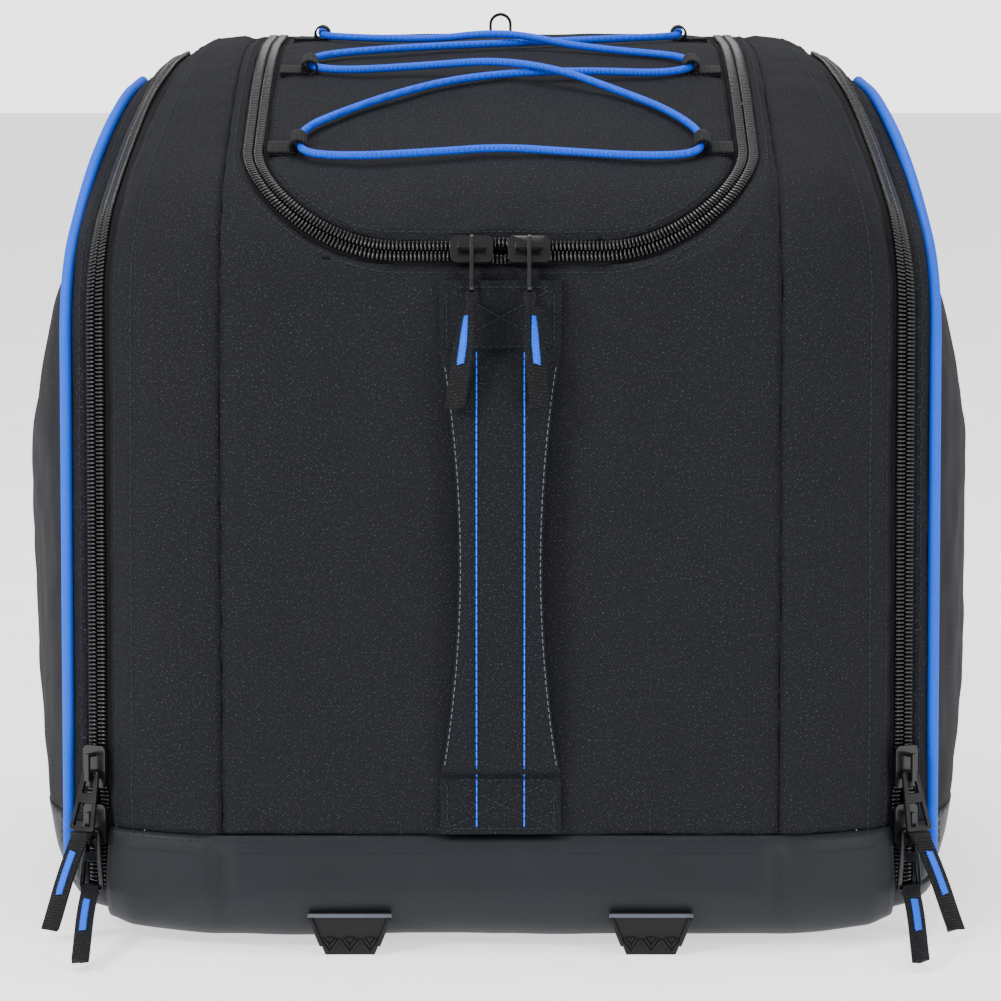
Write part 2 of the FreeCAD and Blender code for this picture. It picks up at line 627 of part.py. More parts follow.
def bungee_tube(points, radius):
    """The laced cord as a tube of the given radius, with tangent arcs at its route's points."""
    edges, last, radii = [], points[0], []
    for before, corner, after in zip(points, points[1:], points[2:]):
        back, ahead = before - corner, after - corner
        turn = math.pi - back.getAngle(ahead)
        reach = 0.45 * min(back.Length, ahead.Length)
        back.normalize()
        ahead.normalize()
        bend = reach / math.tan(turn / 2)
        radii.append(bend)
        start, end = corner + back * reach, corner + ahead * reach
        bisector = (back + ahead).normalize()
        middle = corner + bisector * (bend / math.cos(turn / 2) - bend)
        edges.append(Part.LineSegment(last, start).toShape())
        edges.append(Part.Arc(start, middle, end).toShape())
        last = end
    edges.append(Part.LineSegment(last, points[-1]).toShape())
    spine = Part.Wire(edges)
    heading = (points[1] - points[0]).normalize()
    circle = Part.Wire(Part.makeCircle(radius, points[0], heading))
    cord = spine.makePipeShell([circle], True, False, 2)
    expected = math.pi * radius**2 * spine.Length
    print(f"bungee: length {spine.Length:.1f}, tightest bend {min(radii):.1f}, "
          f"volume {cord.Volume:.1f} against {expected:.1f}")
    return cord


def build_bungee():
    """One laced cord with an end knot at each rear loop."""
    points = bungee_points()
    radius = SIZE.cord_width / 2
    cord = bungee_tube(points, radius)
    knots = [Part.makeSphere(radius + 1.3, end) for end in (points[0], points[-1])]
    add_shape("bungee_cord", cord.fuse(knots).removeSplitter())


def bungee_loop(side, x, y):
    """One webbing loop around the bungee with its sewn tail, standing on the lid."""
    ground, slope = lid_height(y)
    along = Vector(0, 1, slope).normalize()
    up = Vector(1, 0, 0).cross(along)
    inner = SIZE.cord_width / 2 + SIZE.loop_clear
    outer = inner + SIZE.loop_wall
    half = SIZE.loop_width / 2
    out = Part.makeCylinder(outer, 2 * half, Vector(0, -half, outer), Vector(0, 1, 0))
    tail = slab(*sorted((0, side * (outer + SIZE.loop_tail))), -half, half, 0, SIZE.loop_wall * 1.5)
    hole = Part.makeCylinder(inner, 4 * half, Vector(0, -2 * half, outer), Vector(0, 1, 0))
    loop = out.fuse(tail).cut(hole)
    loop.Placement = frame_placement(Vector(x, y, ground) + up * 0.05, Vector(1, 0, 0), along, up)
    return loop.cut(bag_solid(0))


def build_loops():
    """Three pairs of bungee loops, front, middle and rear, each notched where the cord bears on it."""
    cord = bungee_tube(bungee_points(), SIZE.cord_width / 2 + SIZE.cord_clear)
    for name, x, y in (("front", 83.3, -91.5), ("middle", 82.2, -15.5), ("rear", 80.3, 60)):
        pair = [bungee_loop(side, side * x, y + SIZE.crest_y).cut(cord) for side in (LEFT, RIGHT)]
        add_shape(f"{name}_bungee_loops", Part.makeCompound(pair))


# ----------------------------------------------------------------------------------------------
# Front handle, back pad, straps, feet and the inside
# ----------------------------------------------------------------------------------------------
def front_y_at(z):
    """The front face of the middle panels at a height, along its straight part."""
    return SIZE.front_y + SIZE.front_lean * (z - SIZE.base_z) / (SIZE.brow_z - SIZE.base_z)


def build_handle():
    """A long webbing-like grab handle: a sewn patch at each end and a slack middle."""
    low, high = SIZE.handle_low_z, SIZE.handle_high_z
    half, waist, thick = SIZE.handle_half, SIZE.handle_waist, SIZE.handle_thick
    wires = []
    steps = 12
    for i in range(steps + 1):
        share = i / steps
        z = low - 1 + (high - low + 2) * share
        swell = math.sin(math.pi * share)
        bow = 1.3 + SIZE.handle_bow * swell
        width = half - (half - waist) * swell**0.8
        y = front_y_at(z) - bow
        corners = [(-width, y), (width, y), (width, y - thick), (-width, y - thick)]
        points = [Vector(px, py, z) for px, py in corners]
        wires.append(Part.makePolygon(points + points[:1]))
    strip = Part.makeLoft(wires, True, True)
    skin = layer(SIZE.patch_thick + thick, 0)
    ends = [slab(-half, half, y_high=0, z_low=high, z_high=SIZE.patch_top_z)]
    ends.append(slab(-half, half, y_high=0, z_low=SIZE.band_z + 1, z_high=low))
    handle = strip.cut(bag_solid(0))
    for end in ends:
        handle = handle.fuse(skin.common(end))
    add_shape("front_handle", handle.removeSplitter())


def rounded_plate(x, z_low, z_high, half_low, half_high, y_low, y_high, corner):
    """An upright plate with rounded corners, from y_low to y_high."""
    points = [
        Vector(x[0] - half_low, y_low, z_low),
        Vector(x[0] + half_low, y_low, z_low),
        Vector(x[1] + half_high, y_low, z_high),
        Vector(x[1] - half_high, y_low, z_high),
    ]
    wire = rounded_wire(points, [corner] * 4)
    return Part.Face(wire).extrude(Vector(0, y_high - y_low, 0))


def build_back():
    """Back pad, shoulder straps, lower webbings and ladder locks."""
    back, pad = SIZE.back_y, SIZE.pad_thick
    pad_solid = rounded_plate((0, 0), 62, 336, SIZE.pad_half, SIZE.pad_half - 6, back, back + pad, 24)
    add_shape("back_pad", pad_solid)
    face = back + pad + 0.1
    for side in (LEFT, RIGHT):
        name = SIDE_NAMES[side]
        high = Vector(side * SIZE.strap_high_x, 0, SIZE.strap_high_z)
        low = Vector(side * SIZE.strap_low_x, 0, SIZE.strap_low_z)
        half = SIZE.strap_width / 2
        strap = rounded_plate(
            (low.x, high.x), low.z, high.z, half - 6, half - 4, face, face + SIZE.strap_thick, 12
        )
        add_shape(f"{name}_shoulder_strap", strap)
        lock_top = low.z - 4
        lock_half = SIZE.lock_width / 2
        mid = face + SIZE.strap_thick / 2
        lock_low = lock_top - SIZE.lock_length
        lock = slab(low.x - lock_half, low.x + lock_half, mid - SIZE.lock_thick / 2,
                    mid + SIZE.lock_thick / 2, lock_low, lock_top)
        for slot in (3.2, 10, 16.8):
            lock = lock.cut(slab(low.x - lock_half + 3, low.x + lock_half - 3, z_low=lock_low + slot,
                                 z_high=lock_low + slot + 4))
        add_shape(f"{name}_ladder_lock", lock)
        anchor = Vector(side * SIZE.web_low_x, 0, SIZE.web_low_z)
        half_web = SIZE.web_width / 2
        heights = [(low.x, lock_low - 0.2, mid), (low.x, lock_low - 6, mid), (anchor.x, anchor.z, back - 1)]
        wires = []
        for x, z, y in heights:
            corners = [(x - half_web, y), (x + half_web, y), (x + half_web, y + SIZE.web_thick),
                       (x - half_web, y + SIZE.web_thick)]
            points = [Vector(px, py, z) for px, py in corners]
            wires.append(Part.makePolygon(points + points[:1]))
        web = Part.makeLoft(wires, True, True).cut(bag_solid(0))
        add_shape(f"{name}_strap_webbing", web)


def build_hang_loop():
    """A small upright loop of webbing on the top back seam, rounded at its foot so that it can fold."""
    half, wide, thick = SIZE.hang_half, SIZE.hang_width / 2, SIZE.hang_thick
    y, pivot, top = SIZE.back_y - SIZE.hang_inset, SIZE.hang_pivot_z, SIZE.hang_top_z

    def arch(reach, head, foot, corner):
        points = [Vector(-reach, 0, foot), Vector(reach, 0, foot)]
        points += [Vector(reach, 0, head), Vector(-reach, 0, head)]
        face = Part.Face(rounded_wire(points, [0.2, 0.2, corner, corner]))
        solid = face.extrude(Vector(0, 2 * wide, 0))
        solid.translate(Vector(0, y - wide, 0))
        return solid

    loop = arch(half, top, pivot - wide, 4).cut(arch(half - thick, top - thick, pivot - 3 * wide, 2.6))
    foot = Part.makeCylinder(wide, 4 * half, Vector(-2 * half, y, pivot), Vector(1, 0, 0))
    above = slab(-FAR, FAR, z_low=pivot)
    add_shape("hang_loop", loop.common(foot.fuse(above)))


def build_feet():
    """Four rubber feet that wrap the bottom edge, two in front and two behind."""
    for end, wall_y, direction in (("front", SIZE.front_y, -1), ("rear", SIZE.back_y, 1)):
        for side in (LEFT, RIGHT):
            x = side * SIZE.foot_x
            outer = wall_y + direction * 3
            points = [
                Vector(x - SIZE.foot_half, outer, SIZE.foot_top_z),
                Vector(x - SIZE.foot_half + 7, outer, 0),
                Vector(x + SIZE.foot_half - 7, outer, 0),
                Vector(x + SIZE.foot_half, outer, SIZE.foot_top_z),
            ]
            face = Part.Face(Part.makePolygon(points + points[:1]))
            block = face.extrude(Vector(0, -direction * SIZE.foot_length, 0))
            add_shape(f"{end}_{SIDE_NAMES[side]}_foot", block.cut(bag_solid(0)))


def build_inside():
    """The stiffening board and the two sloping dividers."""
    clear = 0.3
    floor = SIZE.base_z + SIZE.wall
    board = bag_solid(-SIZE.wall - clear).common(
        slab(-SIZE.board_half, SIZE.board_half, z_low=floor, z_high=floor + SIZE.board_thick)
    )
    add_shape("base_board", board)
    room = bag_solid(-SIZE.wall - SIZE.tape_thick - clear)
    z_low = floor + SIZE.board_thick + clear
    for side in (LEFT, RIGHT):
        foot, head = side * SIZE.divider_low, side * SIZE.divider_high
        points = [
            Vector(foot, -FAR, z_low),
            Vector(foot + SIZE.divider_thick, -FAR, z_low),
            Vector(head + SIZE.divider_thick, -FAR, SIZE.crest_z),
            Vector(head, -FAR, SIZE.crest_z),
        ]
        prism = Part.Face(Part.makePolygon(points + points[:1])).extrude(Vector(0, 2 * FAR, 0))
        add_shape(f"{SIDE_NAMES[side]}_divider", room.common(prism))


for build in (build_panels, build_chains, build_pulls, build_bungee, build_loops, build_handle,
              build_back, build_hang_loop, build_feet, build_inside):
    build()
doc.recompute()

os.makedirs("parts", exist_ok=True)
for obj in PARTS:
    shape = obj.Shape
    if obj.State and ("Invalid" in obj.State or "Error" in obj.State):
        raise RuntimeError(f"{obj.Label} failed to build: {obj.State}")
    if shape.isNull() or not shape.isValid() or not shape.Solids:
        raise RuntimeError(f"{obj.Label} has no valid solid")
    shape.exportStep(f"parts/{obj.Label}.step")
    box = shape.BoundBox
    print(f"{obj.Label}: {len(shape.Solids)} solid, {shape.Volume:.0f} mm3, "
          f"X {box.XMin:.1f}..{box.XMax:.1f} Y {box.YMin:.1f}..{box.YMax:.1f} "
          f"Z {box.ZMin:.1f}..{box.ZMax:.1f}")
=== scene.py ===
"""Ski boot bag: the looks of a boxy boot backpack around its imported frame.

All working sizes are millimetres in the frame's axes: +X to the right seen from the front, -Y out of
the front, +Z up, the ground at Z = 0.  Meshes are turned to metres when they are finished.
"""

import json
import logging
import math
from dataclasses import dataclass, field
from enum import Enum
from typing import Callable, Iterable, Sequence

import bmesh
import bpy
import numpy as np
from mathutils import Matrix, Vector, noise
from mathutils.bvhtree import BVHTree

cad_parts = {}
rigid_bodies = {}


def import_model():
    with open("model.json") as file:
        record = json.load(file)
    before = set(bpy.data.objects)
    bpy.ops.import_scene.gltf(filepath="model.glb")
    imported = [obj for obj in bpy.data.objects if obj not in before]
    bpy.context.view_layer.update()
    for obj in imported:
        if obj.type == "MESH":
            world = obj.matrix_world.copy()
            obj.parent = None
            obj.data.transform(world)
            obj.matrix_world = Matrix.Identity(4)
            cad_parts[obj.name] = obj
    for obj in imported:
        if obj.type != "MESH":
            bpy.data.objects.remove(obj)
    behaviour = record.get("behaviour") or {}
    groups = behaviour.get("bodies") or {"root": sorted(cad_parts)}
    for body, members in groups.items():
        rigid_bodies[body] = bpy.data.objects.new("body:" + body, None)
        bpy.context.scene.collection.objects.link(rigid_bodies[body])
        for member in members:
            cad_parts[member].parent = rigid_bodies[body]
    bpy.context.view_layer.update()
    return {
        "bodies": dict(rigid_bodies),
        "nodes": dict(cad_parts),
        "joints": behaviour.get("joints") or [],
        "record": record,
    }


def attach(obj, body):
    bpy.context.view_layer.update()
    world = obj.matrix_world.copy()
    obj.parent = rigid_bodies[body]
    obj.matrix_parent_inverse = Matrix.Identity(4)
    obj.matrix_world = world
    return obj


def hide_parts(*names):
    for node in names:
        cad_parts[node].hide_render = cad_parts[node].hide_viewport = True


LOG = logging.getLogger("ski_boot_bag")
MM = 0.001
LEFT, RIGHT = -1, 1
SIDE_NAMES = {LEFT: "left", RIGHT: "right"}
Array = np.ndarray


# ----------------------------------------------------------------------------------------------
# The shell's surface
# ----------------------------------------------------------------------------------------------
def monotone_slopes(x: Array, y: Array) -> Array:
    """Slopes of a curve through points that never overshoots them.

    Args:
        x: Rising positions.
        y: Values at them.

    Returns:
        One slope per point.
    """
    steps = np.diff(x)
    secants = np.diff(y) / steps
    slopes = np.zeros_like(y)
    slopes[0], slopes[-1] = secants[0], secants[-1]
    for i in range(1, len(y) - 1):
        before, after = secants[i - 1], secants[i]
        if before * after > 0:
            slopes[i] = 2 * before * after / (before + after)
    return slopes


def monotone_curve(x: Array, y: Array, slopes: Array, at: Array) -> Array:
    """Values of the monotone curve at the given positions."""
    at = np.clip(at, x[0], x[-1])
    i = np.clip(np.searchsorted(x, at, side="right") - 1, 0, len(x) - 2)
    width = x[i + 1] - x[i]
    s = (at - x[i]) / width
    a = (1 + 2 * s) * (1 - s) ** 2 * y[i] + s * (1 - s) ** 2 * width * slopes[i]
    return a + s * s * (3 - 2 * s) * y[i + 1] + s * s * (s - 1) * width * slopes[i + 1]


@dataclass
class BagShape:
    """The closed outer surface of the bag.

    A point has a reach, its distance over the surface from the middle plane (signed), and a lap, its
    distance round the side profile of the flat middle, from the front end of the underside.
    """

    front_y: float = -136.1
    back_y: float = 149.9
    base_z: float = 6.0
    top_z: float = 361.0
    lean: float = 28.4
    brow_z: float = 301.0
    crest_y: float = 30.9
    crest_z: float = 357.0
    radii: tuple[float, ...] = (18.0, 62.0, 300.0, 18.0, 18.0)
    seam_half: float = 113.0
    band_z: float = 48.0
    zip_end_z: float = 22.3
    chain_half: float = 165.0
    chain_top_half: float = 145.0
    chain_bend_z: float = 262.0
    lid_half: float = 102.0
    lid_corner: float = 61.0
    lid_angle: float = 24.0
    lid_back_y: float = 129.9
    sections: tuple[tuple[float, ...], ...] = (
        (0, 0, 0, 0, 0),
        (60, 0, 0, 0, 0),
        (113, 0, 0, 0, 0),
        (150, 10, 4, 1, 10),
        (157, 14.45, 6.86, 2.59, 15.7),
        (165, 19.55, 10.14, 4.41, 22.3),
        (172, 24, 13, 6, 28),
        (180, 36, 20, 13, 48),
        (192, 66, 46, 38, 90),
        (200, 105, 85, 80, 130),
        (205, 140, 115, 110, 160),
        (206, 155, 130, 152, 202),
    )

    def __post_init__(self) -> None:
        """Prepares the tables that every lookup reads."""
        table = np.array(self.sections, float)
        steps = np.hypot(np.diff(table[:, 0]), np.diff(table[:, 1]))
        self.knots = np.concatenate([[0], np.cumsum(steps)])
        self.table = table
        self.slopes = [monotone_slopes(self.knots, table[:, k]) for k in range(5)]
        self.end_reach = float(self.knots[-1])
        zero = np.zeros(1)
        corner, start, end, centre, radius = self._corners(zero)
        lengths = []
        for i in range(5):
            arc = self._arc_angles(start[i], end[i], centre[i])
            lengths.append(float(abs(arc[1][0]) * radius[i][0]))
            after = start[(i + 1) % 5]
            lengths.append(float(np.linalg.norm(after - end[i])))
        self.breaks = np.concatenate([[0], np.cumsum(lengths)])
        self.lap_length = float(self.breaks[-1])
        self.brow_centre = centre[1][0]
        angle = math.radians(self.lid_angle)
        self.lid_front = self.brow_centre + 62.0 * np.array([-math.cos(angle), math.sin(angle)])
        laps = np.linspace(self.breaks[1], self.breaks[7], 900)
        flat = self.points(np.zeros_like(laps), laps)
        self.climb_table = (((flat[:, 1:] - self.lid_front) @ np.array([1, 1])) / math.sqrt(2), laps)
        self.top_table = (flat[:, 1], laps, flat[:, 2])
        self.lap_lid_back = float(np.interp(self.lid_back_y, self.top_table[0], laps))
        self.climb_end = float(np.interp(self.lap_lid_back, laps, self.climb_table[0]))

    def _insets(self, reach: Array) -> list[Array]:
        """Distance from the middle plane, then the front, back, bottom and top insets."""
        return [
            monotone_curve(self.knots, self.table[:, k], self.slopes[k], np.abs(reach)) for k in range(5)
        ]

    def _corners(self, reach: Array) -> tuple[list[Array], ...]:
        """Corner points, arc starts, ends, centres and radii of the profile at each reach."""
        _, front, back, bottom, top = self._insets(reach)
        base = [
            (self.front_y, self.base_z),
            (self.front_y + self.lean, self.brow_z),
            (self.crest_y, self.crest_z),
            (self.back_y, self.top_z),
            (self.back_y, self.base_z),
        ]
        depth, height = self.back_y - self.front_y, self.top_z - self.base_z
        wide = (depth - front - back) / depth
        tall = (height - bottom - top) / height
        corner = [
            np.stack(
                [
                    self.front_y + front + (y - self.front_y) * wide,
                    self.base_z + bottom + (z - self.base_z) * tall,
                ],
                axis=1,
            )
            for y, z in base
        ]
        scale = np.minimum(wide, tall)
        start, end, centre, radii = [], [], [], []
        for i in range(5):
            back_v = corner[i - 1] - corner[i]
            ahead_v = corner[(i + 1) % 5] - corner[i]
            back_l = np.linalg.norm(back_v, axis=1, keepdims=True)
            ahead_l = np.linalg.norm(ahead_v, axis=1, keepdims=True)
            back_v, ahead_v = back_v / back_l, ahead_v / ahead_l
            half = np.arccos(np.clip((back_v * ahead_v).sum(axis=1), -1, 1)) / 2
            room = 0.47 * np.minimum(back_l, ahead_l)[:, 0]
            radius = np.minimum(self.radii[i] * scale, room * np.tan(half))
            reach_in = (radius / np.tan(half))[:, None]
            middle = back_v + ahead_v
            middle /= np.linalg.norm(middle, axis=1, keepdims=True)
            start.append(corner[i] + back_v * reach_in)
            end.append(corner[i] + ahead_v * reach_in)
            centre.append(corner[i] + middle * (radius / np.sin(half))[:, None])
            radii.append(radius)
        return corner, start, end, centre, radii

    @staticmethod
    def _arc_angles(start: Array, end: Array, centre: Array) -> tuple[Array, Array]:
        """Start angle and signed sweep of an arc about its centre."""
        first = np.arctan2(*(start - centre).T[::-1])
        last = np.arctan2(*(end - centre).T[::-1])
        sweep = (last - first + np.pi) % (2 * np.pi) - np.pi
        return first, sweep

    def points(self, reach: Array, lap: Array) -> Array:
        """Positions on the surface.

        Args:
            reach: Signed distance over the surface from the middle plane.
            lap: Distance round the profile; it wraps.

        Returns:
            One row X, Y, Z per point.
        """
        reach, lap = np.broadcast_arrays(np.asarray(reach, float), np.asarray(lap, float))
        lap = np.mod(lap, self.lap_length)
        x = self._insets(reach)[0] * np.sign(reach + 1e-12)
        _, start, end, centre, radii = self._corners(reach)
        which = np.clip(np.searchsorted(self.breaks, lap, side="right") - 1, 0, 9)
        share = (lap - self.breaks[which]) / np.diff(self.breaks)[which]
        flat = np.zeros((len(reach), 2))
        for i in range(5):
            on_arc = which == 2 * i
            if on_arc.any():
                first, sweep = self._arc_angles(start[i][on_arc], end[i][on_arc], centre[i][on_arc])
                angle = first + sweep * share[on_arc]
                ring = np.stack([np.cos(angle), np.sin(angle)], axis=1) * radii[i][on_arc][:, None]
                flat[on_arc] = centre[i][on_arc] + ring
            on_line = which == 2 * i + 1
            if on_line.any():
                s = share[on_line][:, None]
                flat[on_line] = end[i][on_line] * (1 - s) + start[(i + 1) % 5][on_line] * s
        return np.column_stack([x, flat])

    def normals(self, reach: Array, lap: Array) -> Array:
        """Outward unit normals at points of the surface."""
        step = 0.6
        near_end = np.clip(np.abs(reach), 0, self.end_reach - 2 * step) * np.sign(np.asarray(reach) + 1e-12)
        across = self.points(near_end + step, lap) - self.points(near_end - step, lap)
        along = self.points(near_end, np.asarray(lap) + step) - self.points(near_end, np.asarray(lap) - step)
        normal = np.cross(across, along)
        size = np.linalg.norm(normal, axis=1, keepdims=True)
        return normal / np.maximum(size, 1e-9)

    def lifted(self, reach: Array, lap: Array, lift: Array | float) -> Array:
        """Points moved outwards from the surface by the given lift."""
        lift = np.broadcast_to(np.asarray(lift, float), np.shape(np.asarray(reach) + np.asarray(lap)))
        return self.points(reach, lap) + self.normals(reach, lap) * lift[..., None]

    def lap_front(self, z: float, reach: Array | float = 0.0) -> Array:
        """Lap of a height on the straight part of the front, at the given reach."""
        return self._lap_on_line(z, reach, 0)

    def lap_back(self, z: float, reach: Array | float = 0.0) -> Array:
        """Lap of a height on the straight back, at the given reach."""
        return self._lap_on_line(z, reach, 3)

    def _lap_on_line(self, z: float, reach: Array | float, corner: int) -> Array:
        """Lap of a height on the line that leaves a corner of the profile."""
        reach = np.atleast_1d(np.asarray(reach, float))
        _, start, end, _, _ = self._corners(reach)
        low, high = end[corner][:, 1], start[(corner + 1) % 5][:, 1]
        share = (z - low) / (high - low)
        first, last = self.breaks[2 * corner + 1], self.breaks[2 * corner + 2]
        return first + share * (last - first)

    def chain_x(self, z: Array, offset: float) -> Array:
        """Side zipper's distance from the middle plane at a height, moved outwards by offset."""
        sweep = self.chain_half - self.chain_top_half
        rise = self.crest_z - self.chain_bend_z
        radius = (sweep**2 + rise**2) / (2 * sweep)
        height = np.clip(z - self.chain_bend_z, 0, rise)
        return self.chain_half + offset - (radius - np.sqrt(radius**2 - height**2))

    def chain_reach(self, lap: Array, offset: float) -> Array:
        """Reach of the side zipper's line at each lap, moved outwards by offset (unsigned)."""
        lap = np.atleast_1d(np.asarray(lap, float))
        low = np.full(lap.shape, 100.0)
        high = np.full(lap.shape, self.end_reach - 60)
        for _ in range(30):
            middle = (low + high) / 2
            place = self.points(middle, lap)
            inside = place[:, 0] < self.chain_x(place[:, 2], offset)
            low = np.where(inside, middle, low)
            high = np.where(inside, high, middle)
        return (low + high) / 2

    def height_at(self, y: float) -> float:
        """Height of the flat middle's top surface at a distance from front to back."""
        return float(np.interp(y, self.top_table[0], self.top_table[2]))

    def lap_of_climb(self, climb: Array) -> Array:
        """Lap of a distance climbed past the front of the lid zipper, across the 45 degree view."""
        return np.interp(climb, self.climb_table[0], self.climb_table[1])

    def lid_half_at(self, climb: Array, offset: float) -> Array:
        """Half width of the lid's outline at a climb, the outline moved outwards by offset."""
        half, corner = self.lid_half + offset, self.lid_corner + offset
        inward = np.clip(corner - (climb + offset), 0, corner)
        return half - corner + np.sqrt(np.maximum(corner**2 - inward**2, 0))


SHAPE = BagShape()


# ----------------------------------------------------------------------------------------------
# Mesh tools
# ----------------------------------------------------------------------------------------------
Mapping = Callable[[Array, Array], tuple[Array, Array]]


def smooth_step(value: Array, low: float, high: float) -> Array:
    """Rises smoothly from 0 at low to 1 at high."""
    s = np.clip((np.asarray(value, float) - low) / (high - low), 0, 1)
    return s * s * (3 - 2 * s)


def crumple(points: Array, size: float, seed: float) -> Array:
    """Smooth noise between about -1 and 1 at each point.

    Args:
        points: Rows of positions in millimetres.
        size: Size of one wrinkle in millimetres.
        seed: Offset that makes one field differ from another.

    Returns:
        One value per point.
    """
    shift = Vector((seed, seed * 0.37, -seed * 0.71))
    return np.array([noise.noise(Vector(p) / size + shift) for p in points.tolist()])


def add_patch(bm: bmesh.types.BMesh, columns: int, rows: int, mapping: Mapping) -> list:
    """Adds a grid to a mesh and lays it where a mapping says.

    Args:
        bm: The mesh to add to.
        columns: Faces across.
        rows: Faces along.
        mapping: Turns u and v, both 0 to 1, into positions in millimetres and cloth coordinates.

    Returns:
        The new vertices.
    """
    layer = bm.loops.layers.uv.get("cloth") or bm.loops.layers.uv.new("cloth")
    made = bmesh.ops.create_grid(bm, x_segments=columns, y_segments=rows, size=0.5)["verts"]
    flat = np.array([v.co[:2] for v in made])
    places, cloth = mapping(flat[:, 0] + 0.5, flat[:, 1] + 0.5)
    lookup = {}
    for vert, place, uv in zip(made, places.tolist(), cloth.tolist()):
        vert.co = place
        lookup[vert] = (uv[0] * MM, uv[1] * MM)
    faces = {face for vert in made for face in vert.link_faces}
    for face in faces:
        for loop in face.loops:
            loop[layer].uv = lookup[loop.vert]
    return made


def finish_mesh(
    bm: bmesh.types.BMesh,
    name: str,
    material: bpy.types.Material | Sequence[bpy.types.Material],
    smooth: bool = True,
    outward: Vector | None = None,
) -> bpy.types.Object:
    """Turns a working mesh in millimetres into an object in metres.

    Args:
        bm: The mesh; it is freed.
        name: The piece's name.
        material: Its material, or several in index order.
        smooth: Whether faces are shaded smooth.
        outward: A point inside the piece; open sheets are turned to face away from it.

    Returns:
        The new object.
    """
    bm.normal_update()
    if outward is not None:
        away = sum((face.calc_center_median() - outward).dot(face.normal) * face.calc_area() for face in bm.faces)
        if away < 0:
            bmesh.ops.reverse_faces(bm, faces=bm.faces[:])
    bmesh.ops.scale(bm, vec=(MM, MM, MM), verts=bm.verts[:])
    mesh = bpy.data.meshes.new(name)
    bm.to_mesh(mesh)
    bm.free()
    obj = bpy.data.objects.new(name, mesh)
    bpy.context.scene.collection.objects.link(obj)
    for one in material if isinstance(material, (list, tuple)) else [material]:
        mesh.materials.append(one)
    for polygon in mesh.polygons:
        polygon.use_smooth = smooth
    return obj


def thicken(obj: bpy.types.Object, thickness: float, edge: float = 0.0) -> bpy.types.Object:
    """Gives an open sheet a wall inwards, and rounds its rim.

    Args:
        obj: The sheet.
        thickness: Wall in millimetres.
        edge: Rounding of the rim in millimetres, or 0.

    Returns:
        The same object.
    """
    wall = obj.modifiers.new("wall", "SOLIDIFY")
    wall.thickness = thickness * MM
    wall.offset = -1
    wall.use_even_offset = False
    if edge:
        bevel = obj.modifiers.new("rim", "BEVEL")
        bevel.width = edge * MM
        bevel.segments = 3
        bevel.limit_method = "ANGLE"
        bevel.angle_limit = math.radians(50)
    return obj


@dataclass
class Track:
    """A line over the surface: its points, its outward normals and its length at each point."""

    points: Array
    normals: Array

    def __post_init__(self) -> None:
        """Measures the line."""
        steps = np.linalg.norm(np.diff(self.points, axis=0), axis=1)
        self.stations = np.concatenate([[0], np.cumsum(steps)])

    @property
    def length(self) -> float:
        """Length in millimetres."""
        return float(self.stations[-1])

    def at(self, stations: Array) -> tuple[Array, Array, Array]:
        """Positions, directions and normals at distances along the line.

        Args:
            stations: Distances in millimetres.

        Returns:
            Three arrays of rows.
        """
        place = np.column_stack([np.interp(stations, self.stations, self.points[:, k]) for k in range(3)])
        normal = np.column_stack([np.interp(stations, self.stations, self.normals[:, k]) for k in range(3)])
        normal /= np.linalg.norm(normal, axis=1, keepdims=True)
        ahead = np.column_stack([np.interp(stations + 0.5, self.stations, self.points[:, k]) for k in range(3)])
        behind = np.column_stack([np.interp(stations - 0.5, self.stations, self.points[:, k]) for k in range(3)])
        along = ahead - behind
        along /= np.maximum(np.linalg.norm(along, axis=1, keepdims=True), 1e-9)
        return place, along, normal


def surface_track(reach: Array, lap: Array) -> Track:
    """The line through points of the shell's surface."""
    return Track(SHAPE.points(reach, lap), SHAPE.normals(reach, lap))


def add_sweep(
    bm: bmesh.types.BMesh, track: Track, outline: Sequence[tuple[float, float]], step: float, closed: bool
) -> None:
    """Sweeps an outline along a line over the surface.

    Args:
        bm: The mesh to add to.
        track: The line.
        outline: Across and outward offsets of the outline's points, in millimetres.
        step: Spacing of the sections.
        closed: Whether the outline is a ring.
    """
    shape = np.array(list(outline) + ([outline[0]] if closed else []), float)
    around = np.concatenate([[0], np.cumsum(np.linalg.norm(np.diff(shape, axis=0), axis=1))])
    rows = max(2, int(track.length / step))
    share = np.linspace(0, 1, len(shape))

    def mapping(u: Array, v: Array) -> tuple[Array, Array]:
        across = np.interp(u, share, shape[:, 0])
        out = np.interp(u, share, shape[:, 1])
        place, along, normal = track.at(v * track.length)
        side = np.cross(along, normal)
        spot = place + side * across[:, None] + normal * out[:, None]
        return spot, np.column_stack([np.interp(u, share, around), v * track.length])

    made = add_patch(bm, len(shape) - 1, rows, mapping)
    if closed:
        bmesh.ops.remove_doubles(bm, verts=made, dist=0.001)


def ring_outline(radius: float, count: int, out: float = 0.0, across: float = 0.0) -> list[tuple[float, float]]:
    """Points of a circle as across and outward offsets."""
    angles = [2 * math.pi * i / count for i in range(count)]
    return [(across + radius * math.cos(a), out + radius * math.sin(a)) for a in angles]


